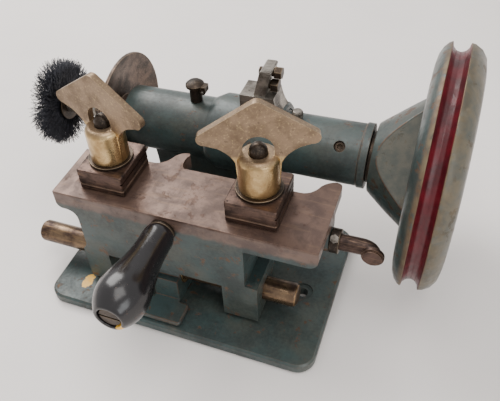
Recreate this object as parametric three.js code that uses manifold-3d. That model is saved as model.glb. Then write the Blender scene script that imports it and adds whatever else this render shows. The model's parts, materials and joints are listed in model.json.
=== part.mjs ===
// Bench skate sharpener: a belt-driven grinding spindle on a cast base, with a
// sliding and rocking blade table in front of it.
// Millimetres, +Z up, +X towards the pulley, -Y towards the user.
// Origin: the middle of the base's underside.

import * as THREE from 'three';
import * as BufferGeometryUtils from 'three/addons/utils/BufferGeometryUtils.js';
import Module from 'manifold-3d';

const wasm = await Module();
wasm.setup();

// ---------------------------------------------------------------- sizes

const SEAT_GAP = 0.3; // between two pieces that rest on each other
const BORE_GAP = 0.3; // around a shaft, stem or screw in its hole

const BASE_LENGTH = 220;
const BASE_DEPTH = 142;
const BASE_THICKNESS = 9;
const BASE_CORNER = 14;
const BASE_EDGE = 1.6;
const MOUNT_HOLE_RADIUS = 4;
const MOUNT_FACE_RADIUS = 8;
const MOUNT_FACE_DEPTH = 1.5;
const MOUNT_HOLE_X = 86;
const MOUNT_HOLE_Y = -5;

const ROD_RADIUS = 9;
const ROD_LENGTH = 222.5;
const ROD_LEFT = -134.5; // left end of the rod
const ROD_RISE = 21; // rod axis above the base's top
const ROD_Y = -26;
const ROD_ROUNDING = 3;

const PEDESTAL_X = -11.5;
const PEDESTAL_WIDTH = 21;
const PEDESTAL_FRONT = 20; // front face ahead of the rod axis
const PEDESTAL_REAR = 24; // rear boss behind the rod axis
const PEDESTAL_SHOULDER = 4; // block top above the rod axis
const PEDESTAL_BOSS_RISE = 1.7; // rear boss top above the eye's crown
const PEDESTAL_WALL = 3; // iron around the bush
const BUSH_WALL = 2.7;
const TOE_WIDTH = 39;
const TOE_LENGTH = 20;
const TOE_THICKNESS = 4;
const TOE_NECK = 1.6;
const PEDESTAL_SCREW_RADIUS = 3;
const PEDESTAL_SCREW_HEAD_RADIUS = 5.4;
const PEDESTAL_SCREW_HEAD_HEIGHT = 4;
const PEDESTAL_SCREW_REACH = 14; // shank end above the base's underside
const PEDESTAL_SCREW_OFFSET = 15; // either side of the rod axis

const TABLE_LEFT = -92;
const TABLE_RIGHT = 105;
const TABLE_WIDTH = 50.5; // front edge to back edge
const TABLE_THICKNESS = 16;
const TABLE_RISE = 95; // table top above the base's top
const TABLE_AHEAD = 19.6; // table front edge ahead of the rod axis
const TABLE_END_ROUND_LEFT = 5;
const TABLE_END_ROUND_RIGHT = 8;
const HORN_REACH = 17.2;
const WALL_THICKNESS = 6;
const APRON_LOW = 15; // apron's lower edge above the rod axis
const LEG_LOW = 17; // leg's foot below the rod axis
const LEG_HIGH = 20; // leg boss top above the rod axis
const LEG_DEPTH = 39.2;
const LEFT_LEG = { outer: -80, inner: -58, wall: -76 };
const RIGHT_LEG = { outer: 63, inner: 36, wall: 54 };
const RIB_THICKNESS = 7;
const RIB_DEPTH = 46;
const UNDERCUT_RADIUS = 10;
const END_LUG_LENGTH = 8;
const END_LUG_RADIUS = 9;

const BAR_RADIUS = 5.8;
const BAR_BELOW_TABLE = 24; // bar axis below the table top
const BAR_Y = -9.4;
const BAR_LEFT = -84;
const BAR_HEAD_X = 134.6;
const BAR_HEAD_RADIUS = 7.6;
const BAR_HEAD_FRONT = 9; // head's end face ahead of the bar axis
const BAR_HEAD_LENGTH = 5;
const ELBOW_RADIUS = 9;
const CAM_RADIUS = 4.5;
const CAM_THROW = 1;
const CAM_LEFT = -26;
const CAM_RIGHT = 32;
const COLLAR_LENGTH = 6.5;
const COLLAR_RADIUS = 8.8;
const COLLAR_SCREW_TURN = 38; // degrees towards the user
const COLLAR_SCREW_RADIUS = 2;
const COLLAR_SCREW_HEAD_RADIUS = 3.1;
const COLLAR_SCREW_HEAD_HEIGHT = 3;
const STOP_SCREW_RADIUS = 3;
const STOP_HEAD_RADIUS = 5;
const STOP_HEAD_HEIGHT = 5;
const STOP_DEPTH = 14; // thread in the pedestal's rear boss
const STOP_NUT_HEIGHT = 5;
const STOP_NUT_RADIUS = 6;

const LEFT_CLAMP_X = -54.7;
const RIGHT_CLAMP_X = 57;
const CLAMP_BACK = 29.2; // clamp centre behind the table's front edge
const JAW_WIDTH = 36;
const JAW_DEPTH = 40;
const PAD_THICKNESS = 5;
const BLOCK_THICKNESS = 12;
const JAW_GROOVE = 1.4;
const STUD_RADIUS = 6;
const STUD_RISE = 55; // stud's rounded end above the table top
const STUD_SOCKET = 15; // stud length in the table
const JAW_WASHER_RADIUS = 16.2;
const JAW_WASHER_THICKNESS = 1.8;
const NUT_HUB_RADIUS = 13.8;
const NUT_HUB_HEIGHT = 27;
const WING_THICKNESS = 5;
const WING_HALF_SPAN = 38;
const WING_TIP_RISE = 40; // tip centre above the hub's foot
const WING_APEX_RISE = 66.5;
const WING_TIP_ROUND = 4.5;
const WING_NECK = 14.5; // half the plate's width beside the hub
const WING_HOLE_RADIUS = 10.1;
const WING_HOLE_RISE = 31.6;
const NUT_HUB_ROUND = 4.6; // rounding of the hub's top edge
const LEFT_WING_TURN = -12.6; // degrees
const RIGHT_WING_TURN = 18.1;

const HANDLE_X = -4;
const HANDLE_DROP = 12; // handle axis below the table top
const GRIP_LENGTH = 75;
const GRIP_NECK_RADIUS = 11.3;
const GRIP_RADIUS = 18;
const GRIP_END_RADIUS = 10.5;
const HANDLE_STUD_RADIUS = 4;
const HANDLE_COLLAR_RADIUS = 9.5;
const HANDLE_COLLAR_LENGTH = 3;
const GRIP_RECESS_RADIUS = 8.2;
const GRIP_RECESS_DEPTH = 4;
const HANDLE_SCREW_RADIUS = 7.4;

const SPINDLE_BEHIND_TABLE = 53.9; // spindle axis behind the table's back edge
const SPINDLE_BELOW_TABLE = 2; // spindle axis below the table top
const JOURNAL_RADIUS = 8;
const HOUSING_LEFT = -77;
const HOUSING_STEP = 52;
const HOUSING_RIGHT = 116;
const HOUSING_RADIUS_LEFT = 24.7;
const HOUSING_RADIUS_RIGHT = 23.2;
const HOUSING_BORE = 12.8;
const END_BAND_RADIUS = 24.2;
const END_BAND_LENGTH = 5;
const SPINDLE_BUSH_LENGTH = 30;

const STANDARD_WEB_LEFT = -58;
const STANDARD_WEB_RIGHT = 58;
const STANDARD_WEB_DEPTH = 22;
const STANDARD_WAIST = 7;
const STANDARD_CRADLE = 14; // web's top edge below the spindle axis
const FOOT_LEFT = -74;
const FOOT_RIGHT = 72;
const FOOT_FRONT = 24.8; // foot's front edge ahead of the spindle axis
const FOOT_DEPTH = 36;
const FOOT_THICKNESS = 8;
const FOOT_CORNER = 8;
const RING_LEFT = 2.5;
const RING_RIGHT = 50;
const RING_WALL = 4.8;
const RING_SLOPE = 8;
const FOOT_BOLT_INSET = 7;
const FOOT_BOLT_RADIUS = 3.4;
const FOOT_BOLT_REACH = 7; // shank length in the base
const FOOT_BOLT_HEAD_RADIUS = 5.6;
const FOOT_BOLT_HEAD_HEIGHT = 4.5;
const FOOT_BOLT_SPREAD = 11; // either side of the foot's middle line

const BRACKET_LEFT = 20.5;
const BRACKET_RIGHT = 46;
const BRACKET_SLOPE = 9;
const BRACKET_HALF_DEPTH = 10;
const BRACKET_HEIGHT = 13.5; // block top above the ring's crown
const BRACKET_SINK = 5; // block's foot below the ring's crown, wrapped over the ring
const EAR_LEFT = 30.5;
const EAR_THICKNESS = 8.5;
const EAR_HEIGHT = 20.5;
const EAR_LEAN = 5; // ear's top leans this far towards the pulley
const EAR_HALF_DEPTH = 8.5;
const EAR_BOLT_RADIUS = 3;
const EAR_BOLT_HEAD_RADIUS = 5.2;
const EAR_BOLT_HEAD_HEIGHT = 5.5;
const EAR_LOW_BOLT_RISE = 5.6;
const EAR_HIGH_BOLT_RISE = 16;

const OILER_X = -19;
const OILER_SPIGOT_RADIUS = 2.7;
const OILER_SPIGOT_LENGTH = 8;
const OILER_RADIUS = 4.8;
const OILER_HEIGHT = 12.5;
const OILER_CUP_RADIUS = 3.3;
const OILER_CUP_DEPTH = 8;
const LID_RADIUS = 7.2;
const LID_HEIGHT = 4.5;
const LID_PIN_RADIUS = 1.1;
const LID_PIN_LENGTH = 9;
const LID_LUG_RADIUS = 2.4;
const LID_LUG_WIDTH = 3;

const KNURL_X = 61;
const KNURL_RADIUS = 4.3;
const KNURL_HEIGHT = 6.5;
const KNURL_STEM_RADIUS = 2;
const KNURL_STEM_LENGTH = 7;
const GRUB_X = 96;
const GRUB_ANGLE = 133; // degrees about +X from +Y
const GRUB_RADIUS = 3.7;
const GRUB_SINK = 2.6;
const GRUB_SOCKET_RADIUS = 2.2;
const GRUB_SOCKET_DEPTH = 3;

const FLANGE_RADIUS = 50.5;
const FLANGE_HUB_RADIUS = 14;
const FLANGE_HUB_LENGTH = 16.5;
const FLANGE_SEAT_RADIUS = 22;
const FLANGE_WALL = 2.6;
const FLANGE_RIM_BACK = 3.5; // dish rim's right face left of the housing's end
const WHEEL_COLLAR_RADIUS = 20;
const WHEEL_COLLAR_LENGTH = 4;
const WHEEL_NUT_RADIUS = 13.5;
const WHEEL_NUT_LENGTH = 9;
const WHEEL_SEAT_RADIUS = 7.7;
const BRUSH_SHOULDER_X = -140;
const TAIL_RADIUS = 5;
const TAIL_LENGTH = 27;
const BRUSH_CORE_LENGTH = 17;
const BRUSH_CORE_RADIUS = 10;
const BRUSH_CHEEK_RADIUS = 14;
const BRUSH_CHEEK = 1.5;
const BRUSH_RADIUS = 37.5;
const BRUSH_NUT_RADIUS = 8.6;
const BRUSH_NUT_LENGTH = 6;

const THRUST_WASHER_RADIUS = 19;
const THRUST_WASHER_THICKNESS = 2;
const PULLEY_RADIUS = 86.4;
const PULLEY_WIDTH = 31.5;
const PULLEY_CONE_LENGTH = 28.2; // hub nose to the rim's left face
const PULLEY_NOSE_RADIUS = 26;
const PULLEY_THROAT_RADIUS = 47.5; // where the cone meets the rim
const PULLEY_CREST_LEFT = 8.3; // left crest right of the rim's left face
const GROOVE_WIDTH = 11.5;
const GROOVE_DEPTH = 6.6;
const PULLEY_WEB_RADIUS = 62;
const PULLEY_WEB_RECESS = 13; // web's right face inside the rim's right face
const PULLEY_BOSS_RADIUS = 17;
const PULLEY_BOSS_RECESS = 12;
const FLAT_COUNT = 3; // flats around the cone
const FLAT_DIRECTION = 137; // first flat's facing, degrees about +X from +Y
const FLAT_NOSE_RADIUS = 27.4; // flat's distance from the axis at the nose
const FLAT_RIM_RADIUS = 33; // and at the rim
const KEY_START = 4; // key's left end behind the hub nose
const KEY_WIDTH = 5;
const KEY_HEIGHT = 5;
const KEY_LENGTH = 22;
const KEY_GAP = 0.3;
const PULLEY_WASHER_RADIUS = 13;
const PULLEY_WASHER_THICKNESS = 2;
const PULLEY_NUT_RADIUS = 10.5;
const PULLEY_NUT_LENGTH = 7;
const PULLEY_THREAD_RADIUS = 6;
const THREAD_TAIL = 2.5; // thread left past a tightened nut

// ------------------------------------------------- places worked out from the sizes

const baseTop = BASE_THICKNESS;
const rodZ = baseTop + ROD_RISE;
const tableTop = baseTop + TABLE_RISE;
const tableUnder = tableTop - TABLE_THICKNESS;
const tableFront = ROD_Y - TABLE_AHEAD;
const tableBack = tableFront + TABLE_WIDTH;
const clampY = tableFront + CLAMP_BACK;
const barZ = tableTop - BAR_BELOW_TABLE;
const spindleY = tableBack + SPINDLE_BEHIND_TABLE;
const spindleZ = tableTop - SPINDLE_BELOW_TABLE;
const jawTop = tableTop + PAD_THICKNESS + BLOCK_THICKNESS + 2 * SEAT_GAP;
const washerTop = jawTop + SEAT_GAP + JAW_WASHER_THICKNESS;
const hubFoot = washerTop + SEAT_GAP;
const handleZ = tableTop - HANDLE_DROP;
const ringRadius = HOUSING_RADIUS_LEFT + BORE_GAP + RING_WALL;
const ringCrown = spindleZ + ringRadius;
const flangeRight = HOUSING_LEFT - SEAT_GAP;
const flangeLeft = flangeRight - FLANGE_HUB_LENGTH;
const flangeRim = HOUSING_LEFT - FLANGE_RIM_BACK;
const pulleyNose = HOUSING_RIGHT + THRUST_WASHER_THICKNESS + 2 * SEAT_GAP;
const rimLeft = pulleyNose + PULLEY_CONE_LENGTH;
const rimRight = rimLeft + PULLEY_WIDTH;
const bossFace = rimRight - PULLEY_BOSS_RECESS;
const washerFace = bossFace + SEAT_GAP + PULLEY_WASHER_THICKNESS;
const nutFace = washerFace + SEAT_GAP + PULLEY_NUT_LENGTH;
const keyLeft = pulleyNose + KEY_START;
const bushRadius = ROD_RADIUS + BORE_GAP + BUSH_WALL;
const pedestalCrown = bushRadius + BORE_GAP + PEDESTAL_WALL;
const bossTop = rodZ + pedestalCrown + PEDESTAL_BOSS_RISE;

// ---------------------------------------------------------------- finishes

function finish(color, roughness, metalness) {
  return new THREE.MeshStandardMaterial({ color, roughness, metalness });
}

const paint = () => finish(0x3a5653, 0.5, 0.2);
const wornIron = () => finish(0x8a7068, 0.5, 0.7);
const jawSteel = () => finish(0x5a4440, 0.5, 0.8);
const darkSteel = () => finish(0x4a4038, 0.5, 0.8);
const brightSteel = () => finish(0xa8a49c, 0.4, 0.9);
const rodSteel = () => finish(0x7a6238, 0.4, 0.8);
const bronze = () => finish(0xb08a50, 0.35, 0.9);
const handleBlack = () => finish(0x17161a, 0.15, 0);
const bristle = () => finish(0x1c1e28, 0.9, 0);

// ---------------------------------------------------------------- solids

// A closed geometry as a manifold solid, with its faces turned outwards.
function solid(geometry) {
  const bare = geometry.clone();
  bare.deleteAttribute('normal');
  bare.deleteAttribute('uv');
  const merged = BufferGeometryUtils.mergeVertices(bare, 1e-4);
  const points = merged.getAttribute('position').array;
  const faces = Uint32Array.from(merged.getIndex().array);
  const kept = [];
  let volume = 0;
  for (let i = 0; i < faces.length; i += 3) {
    const [a, b, c] = faces.subarray(i, i + 3);
    if (a === b || b === c || c === a) continue;
    kept.push(a, b, c);
    const [ax, ay, az] = points.subarray(3 * a, 3 * a + 3);
    const [bx, by, bz] = points.subarray(3 * b, 3 * b + 3);
    const [cx, cy, cz] = points.subarray(3 * c, 3 * c + 3);
    volume += ax * (by * cz - bz * cy) + ay * (bz * cx - bx * cz) + az * (bx * cy - by * cx);
  }
  const triVerts = Uint32Array.from(volume < 0 ? kept.reverse() : kept);
  return new wasm.Manifold(new wasm.Mesh({ numProp: 3, vertProperties: points, triVerts }));
}

// A manifold solid as a three.js geometry.
function geometryOf(body) {
  const { vertProperties, triVerts } = body.getMesh();
  const geometry = new THREE.BufferGeometry();
  geometry.setAttribute('position', new THREE.BufferAttribute(new Float32Array(vertProperties), 3));
  geometry.setIndex(new THREE.BufferAttribute(new Uint32Array(triVerts), 1));
  geometry.computeVertexNormals();
  return geometry;
}

function box(x0, x1, y0, y1, z0, z1) {
  const geometry = new THREE.BoxGeometry(x1 - x0, y1 - y0, z1 - z0);
  geometry.translate((x0 + x1) / 2, (y0 + y1) / 2, (z0 + z1) / 2);
  return solid(geometry);
}

// Turns a geometry whose length runs along +Y so that it runs along the named axis.
function alongAxis(geometry, axis) {
  if (axis === 'x') geometry.rotateZ(-Math.PI / 2);
  if (axis === 'z') geometry.rotateX(Math.PI / 2);
  return geometry;
}

// A round or many-sided bar along an axis, from one station to another. The centre is
// given as the two other coordinates, in X, Y, Z order.
function bar(axis, radius, from, to, centre, sides = 24) {
  const geometry = new THREE.CylinderGeometry(radius, radius, to - from, sides);
  alongAxis(geometry, axis);
  const middle = (from + to) / 2;
  if (axis === 'x') geometry.translate(middle, centre[0], centre[1]);
  if (axis === 'y') geometry.translate(centre[0], middle, centre[1]);
  if (axis === 'z') geometry.translate(centre[0], centre[1], middle);
  return solid(geometry);
}

// A turned piece: [station, radius] points of a closed half section, around an axis.
function turned(axis, section, centre, sides = 32) {
  const points = section.map(([station, radius]) => new THREE.Vector2(radius, station));
  const [first] = section;
  const closed = first[1] > 0;
  if (closed) points.push(points[0].clone());
  const geometry = new THREE.LatheGeometry(points, sides);
  if (axis === 'x') geometry.rotateZ(-Math.PI / 2);
  if (axis === 'z') geometry.rotateX(Math.PI / 2);
  if (axis === 'x') geometry.translate(0, centre[0], centre[1]);
  if (axis === 'y') geometry.translate(centre[0], 0, centre[1]);
  if (axis === 'z') geometry.translate(centre[0], centre[1], 0);
  return solid(geometry);
}

// A flat outline in X and Y, thickened from z0 to z1.
function slab(outline, z0, z1, bevel = 0) {
  const geometry = new THREE.ExtrudeGeometry(outline, {
    depth: z1 - z0 - 2 * bevel,
    bevelEnabled: bevel > 0,
    bevelSize: bevel,
    bevelThickness: bevel,
    bevelOffset: -bevel,
    bevelSegments: 1,
    curveSegments: 6,
  });
  geometry.translate(0, 0, z0 + bevel);
  return solid(geometry);
}

// A flat outline in X and Z, thickened from y0 to y1.
function upright(outline, y0, y1) {
  const geometry = new THREE.ExtrudeGeometry(outline, {
    depth: y1 - y0,
    bevelEnabled: false,
    curveSegments: 8,
  });
  geometry.rotateX(Math.PI / 2);
  geometry.translate(0, y1, 0);
  return solid(geometry);
}

function roundedRectangle(x0, x1, y0, y1, corner) {
  const shape = new THREE.Shape();
  shape.moveTo(x0 + corner, y0);
  shape.lineTo(x1 - corner, y0);
  shape.absarc(x1 - corner, y0 + corner, corner, -Math.PI / 2, 0, false);
  shape.lineTo(x1, y1 - corner);
  shape.absarc(x1 - corner, y1 - corner, corner, 0, Math.PI / 2, false);
  shape.lineTo(x0 + corner, y1);
  shape.absarc(x0 + corner, y1 - corner, corner, Math.PI / 2, Math.PI, false);
  shape.lineTo(x0, y0 + corner);
  shape.absarc(x0 + corner, y0 + corner, corner, Math.PI, 1.5 * Math.PI, false);
  return shape;
}

function joined(...bodies) {
  return bodies.reduce((whole, body) => whole.add(body));
}

function cut(body, ...tools) {
  return tools.reduce((rest, tool) => rest.subtract(tool), body);
}

// Turns a solid about a line along +X through [y, z].
function turnedAbout(body, [y, z], degrees) {
  return body.translate([0, -y, -z]).rotate([degrees, 0, 0]).translate([0, y, z]);
}

// ---------------------------------------------------------------- assembly

const sharpener = new THREE.Group();

function place(name, body, material) {
  const mesh = new THREE.Mesh(geometryOf(body), material);
  mesh.name = name;
  sharpener.add(mesh);
}

const rodCentre = [ROD_Y, rodZ];
const barCentre = [BAR_Y, barZ];
const spindleCentre = [spindleY, spindleZ];
const handleCentre = [HANDLE_X, handleZ];

// Base: a rounded cast plate with two spot-faced mounting holes.

const footMiddle = spindleY - FOOT_FRONT + FOOT_DEPTH / 2;
const footBoltSpots = [];
for (const x of [FOOT_LEFT + FOOT_BOLT_INSET, FOOT_RIGHT - FOOT_BOLT_INSET]) {
  for (const side of [-1, 1]) {
    footBoltSpots.push([x, footMiddle + side * FOOT_BOLT_SPREAD]);
  }
}
const pedestalScrewSpots = [-1, 1].map((side) => [PEDESTAL_X, ROD_Y + side * PEDESTAL_SCREW_OFFSET]);

function basePlate() {
  const halfLength = BASE_LENGTH / 2;
  const halfDepth = BASE_DEPTH / 2;
  const outline = roundedRectangle(-halfLength, halfLength, -halfDepth, halfDepth, BASE_CORNER);
  let plate = slab(outline, 0, baseTop, BASE_EDGE);
  for (const x of [-MOUNT_HOLE_X, MOUNT_HOLE_X]) {
    const hole = bar('z', MOUNT_HOLE_RADIUS, -1, baseTop + 1, [x, MOUNT_HOLE_Y], 24);
    const faceFrom = baseTop - MOUNT_FACE_DEPTH;
    const face = bar('z', MOUNT_FACE_RADIUS, faceFrom, baseTop + 1, [x, MOUNT_HOLE_Y], 24);
    plate = cut(plate, hole, face);
  }
  for (const spot of footBoltSpots) {
    const from = baseTop - FOOT_BOLT_REACH - SEAT_GAP;
    plate = cut(plate, bar('z', FOOT_BOLT_RADIUS + BORE_GAP, from, baseTop + 1, spot, 16));
  }
  for (const spot of pedestalScrewSpots) {
    const headTop = PEDESTAL_SCREW_HEAD_HEIGHT + 2 * SEAT_GAP;
    plate = cut(
      plate,
      bar('z', PEDESTAL_SCREW_RADIUS + BORE_GAP, -1, baseTop + 1, spot, 16),
      bar('z', PEDESTAL_SCREW_HEAD_RADIUS + BORE_GAP, -1, headTop, spot, 20),
    );
  }
  return plate;
}
place('base_plate', basePlate(), paint());

// Rod pedestal: a post with a bushed eye for the rod, a wide toe in front and a boss
// behind for the stop screw.

function rodPedestal() {
  const left = PEDESTAL_X - PEDESTAL_WIDTH / 2;
  const right = PEDESTAL_X + PEDESTAL_WIDTH / 2;
  const foot = baseTop + SEAT_GAP;
  const front = ROD_Y - PEDESTAL_FRONT;
  const back = ROD_Y + PEDESTAL_REAR;
  const toeBack = front - TOE_NECK;
  const toeFront = toeBack - TOE_LENGTH;
  const toeTop = foot + TOE_THICKNESS;
  const toeLeft = PEDESTAL_X - TOE_WIDTH / 2;
  const toeRight = PEDESTAL_X + TOE_WIDTH / 2;
  let post = joined(
    box(left, right, front, back - 2, foot, rodZ + PEDESTAL_SHOULDER),
    bar('x', pedestalCrown, left, right, rodCentre, 40),
    box(left, right, ROD_Y + bushRadius, back, foot, bossTop),
    box(left, right, toeBack - 1, front + 1, foot, toeTop),
    slab(roundedRectangle(toeLeft, toeRight, toeFront, toeBack, 3), foot, toeTop, 1),
  );
  for (const spot of pedestalScrewSpots) {
    const top = PEDESTAL_SCREW_REACH + SEAT_GAP;
    post = cut(post, bar('z', PEDESTAL_SCREW_RADIUS + BORE_GAP, 0, top, spot, 16));
  }
  const stopFloor = bossTop - STOP_DEPTH - SEAT_GAP;
  const stopSpot = [PEDESTAL_X, BAR_Y];
  return cut(
    post,
    bar('x', bushRadius + BORE_GAP, left - 1, right + 1, rodCentre, 40),
    bar('z', STOP_SCREW_RADIUS + BORE_GAP, stopFloor, bossTop + 1, stopSpot, 16),
  );
}
place('rod_pedestal', rodPedestal(), paint());

function rodBush() {
  const left = PEDESTAL_X - PEDESTAL_WIDTH / 2;
  const right = PEDESTAL_X + PEDESTAL_WIDTH / 2;
  return cut(
    bar('x', bushRadius, left, right, rodCentre, 40),
    bar('x', ROD_RADIUS + BORE_GAP, left - 1, right + 1, rodCentre, 40),
  );
}
place('rod_bush', rodBush(), bronze());

function pedestalScrew(spot) {
  const head = SEAT_GAP + PEDESTAL_SCREW_HEAD_HEIGHT;
  return joined(
    bar('z', PEDESTAL_SCREW_RADIUS, head - 0.1, PEDESTAL_SCREW_REACH, spot, 16),
    bar('z', PEDESTAL_SCREW_HEAD_RADIUS, SEAT_GAP, head, spot, 20),
  );
}
pedestalScrewSpots.forEach((spot, index) => {
  place(`pedestal_screw_${index + 1}`, pedestalScrew(spot), darkSteel());
});

// Stop screw: holds the table's bar at its working height.

const stopTop = barZ - CAM_THROW - CAM_RADIUS - SEAT_GAP;

function stopScrew() {
  const spot = [PEDESTAL_X, BAR_Y];
  return joined(
    bar('z', STOP_SCREW_RADIUS, bossTop - STOP_DEPTH, stopTop - 1, spot, 16),
    bar('z', STOP_HEAD_RADIUS, stopTop - STOP_HEAD_HEIGHT, stopTop, spot, 6),
  );
}
place('stop_screw', stopScrew(), darkSteel());

function stopNut() {
  const spot = [PEDESTAL_X, BAR_Y];
  const foot = bossTop + SEAT_GAP;
  return cut(
    bar('z', STOP_NUT_RADIUS, foot, foot + STOP_NUT_HEIGHT, spot, 6),
    bar('z', STOP_SCREW_RADIUS + BORE_GAP, foot - 1, foot + STOP_NUT_HEIGHT + 1, spot, 16),
  );
}
place('stop_lock_nut', stopNut(), darkSteel());

// Standard: foot, waisted web and the ring that holds the spindle housing.

function standard() {
  const foot = baseTop + SEAT_GAP;
  const footTop = foot + FOOT_THICKNESS;
  const footFront = spindleY - FOOT_FRONT;
  const footShape = roundedRectangle(FOOT_LEFT, FOOT_RIGHT, footFront, footFront + FOOT_DEPTH, FOOT_CORNER);
  const webTop = spindleZ - STANDARD_CRADLE;
  const middle = (footTop + webTop) / 2;
  const web = new THREE.Shape();
  web.moveTo(STANDARD_WEB_LEFT - 2, footTop - 1);
  web.lineTo(STANDARD_WEB_RIGHT + 2, footTop - 1);
  web.quadraticCurveTo(STANDARD_WEB_RIGHT - STANDARD_WAIST, middle, STANDARD_WEB_RIGHT, webTop);
  web.lineTo(STANDARD_WEB_LEFT, webTop);
  web.quadraticCurveTo(STANDARD_WEB_LEFT + STANDARD_WAIST, middle, STANDARD_WEB_LEFT - 2, footTop - 1);
  const halfWeb = STANDARD_WEB_DEPTH / 2;
  const ring = turned(
    'x',
    [
      [RING_LEFT - RING_SLOPE, 0],
      [RING_LEFT - RING_SLOPE, HOUSING_RADIUS_LEFT + 1],
      [RING_LEFT, ringRadius],
      [RING_RIGHT, ringRadius],
      [RING_RIGHT + 2, ringRadius - 2],
      [RING_RIGHT + 2, 0],
    ],
    spindleCentre,
    44,
  );
  let body = joined(
    slab(footShape, foot, footTop, 1),
    upright(web, spindleY - halfWeb, spindleY + halfWeb),
    ring,
  );
  for (const spot of footBoltSpots) {
    body = cut(body, bar('z', FOOT_BOLT_RADIUS + BORE_GAP, foot - 1, footTop + 1, spot, 16));
  }
  const housingSpace = HOUSING_RADIUS_LEFT + BORE_GAP;
  return cut(body, bar('x', housingSpace, FOOT_LEFT, FOOT_RIGHT, spindleCentre, 44));
}
place('standard', standard(), paint());

function footBolt(spot) {
  const seat = baseTop + 2 * SEAT_GAP + FOOT_THICKNESS;
  return joined(
    bar('z', FOOT_BOLT_RADIUS, baseTop - FOOT_BOLT_REACH, seat + 0.1, spot, 16),
    bar('z', FOOT_BOLT_HEAD_RADIUS, seat, seat + FOOT_BOLT_HEAD_HEIGHT, spot, 6),
  );
}
footBoltSpots.forEach((spot, index) => {
  place(`standard_bolt_${index + 1}`, footBolt(spot), darkSteel());
});

// Spindle housing: a bored tube, stepped down on its pulley side.

const oilHoleTop = spindleZ + HOUSING_RADIUS_LEFT + 2;

function grubTool(radius, from, to, sides) {
  const standing = bar('z', radius, spindleZ + from, spindleZ + to, [GRUB_X, spindleY], sides);
  return turnedAbout(standing, spindleCentre, GRUB_ANGLE - 90);
}

function spindleHousing() {
  const tube = turned(
    'x',
    [
      [HOUSING_LEFT, HOUSING_BORE],
      [HOUSING_LEFT, HOUSING_RADIUS_LEFT - 1],
      [HOUSING_LEFT + 1, HOUSING_RADIUS_LEFT],
      [HOUSING_STEP - 1, HOUSING_RADIUS_LEFT],
      [HOUSING_STEP + 1, HOUSING_RADIUS_RIGHT],
      [HOUSING_RIGHT - END_BAND_LENGTH - 1, HOUSING_RADIUS_RIGHT],
      [HOUSING_RIGHT - END_BAND_LENGTH, END_BAND_RADIUS],
      [HOUSING_RIGHT, END_BAND_RADIUS],
      [HOUSING_RIGHT, HOUSING_BORE],
    ],
    spindleCentre,
    44,
  );
  const oilHole = OILER_SPIGOT_RADIUS + BORE_GAP;
  const stemHole = KNURL_STEM_RADIUS + BORE_GAP;
  return cut(
    tube,
    bar('z', oilHole, spindleZ, oilHoleTop, [OILER_X, spindleY], 16),
    bar('z', stemHole, spindleZ, oilHoleTop, [KNURL_X, spindleY], 16),
    grubTool(GRUB_RADIUS + BORE_GAP, 0, HOUSING_RADIUS_RIGHT + 3, 20),
  );
}
place('spindle_housing', spindleHousing(), paint());

function spindleBush(from) {
  return cut(
    bar('x', HOUSING_BORE - BORE_GAP, from, from + SPINDLE_BUSH_LENGTH, spindleCentre, 28),
    bar('x', JOURNAL_RADIUS + BORE_GAP, from - 1, from + SPINDLE_BUSH_LENGTH + 1, spindleCentre, 32),
  );
}
place('spindle_bush_left', spindleBush(HOUSING_LEFT), bronze());
place('spindle_bush_right', spindleBush(HOUSING_RIGHT - SPINDLE_BUSH_LENGTH), bronze());

function bushScrew() {
  const outer = HOUSING_RADIUS_RIGHT - GRUB_SINK;
  const tip = HOUSING_BORE + BORE_GAP;
  return cut(
    grubTool(GRUB_RADIUS, tip, outer, 20),
    grubTool(GRUB_SOCKET_RADIUS, outer - GRUB_SOCKET_DEPTH, outer + 1, 6),
  );
}
place('bush_set_screw', bushScrew(), darkSteel());

function oilPlug() {
  const seat = spindleZ + HOUSING_RADIUS_RIGHT + SEAT_GAP;
  const spot = [KNURL_X, spindleY];
  return joined(
    bar('z', KNURL_STEM_RADIUS, seat - KNURL_STEM_LENGTH, seat + 0.1, spot, 16),
    bar('z', KNURL_RADIUS, seat, seat + KNURL_HEIGHT, spot, 18),
  );
}
place('oil_plug', oilPlug(), brightSteel());

// Oiler: a cup with a spring lid hinged on its pulley side.

const oilerSeat = spindleZ + HOUSING_RADIUS_LEFT + SEAT_GAP;
const oilerTop = oilerSeat + OILER_HEIGHT;
const lidFoot = oilerTop + SEAT_GAP;
const pinX = OILER_X + OILER_RADIUS + LID_LUG_RADIUS;
const pinZ = oilerTop - LID_LUG_RADIUS;

function oilerBody() {
  const spot = [OILER_X, spindleY];
  const cup = joined(
    bar('z', OILER_SPIGOT_RADIUS, oilerSeat - OILER_SPIGOT_LENGTH, oilerSeat + 0.1, spot, 16),
    bar('z', OILER_RADIUS, oilerSeat, oilerTop, spot, 28),
    box(OILER_X, pinX, spindleY - LID_LUG_WIDTH / 2, spindleY + LID_LUG_WIDTH / 2, pinZ - 2, pinZ + 2),
    bar('y', LID_LUG_RADIUS, spindleY - LID_LUG_WIDTH / 2, spindleY + LID_LUG_WIDTH / 2, [pinX, pinZ], 20),
  );
  return cut(
    cup,
    bar('z', OILER_CUP_RADIUS, oilerTop - OILER_CUP_DEPTH, oilerTop + 1, spot, 20),
    bar('y', LID_PIN_RADIUS + BORE_GAP, spindleY - 5, spindleY + 5, [pinX, pinZ], 16),
  );
}
place('oiler_body', oilerBody(), darkSteel());

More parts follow.
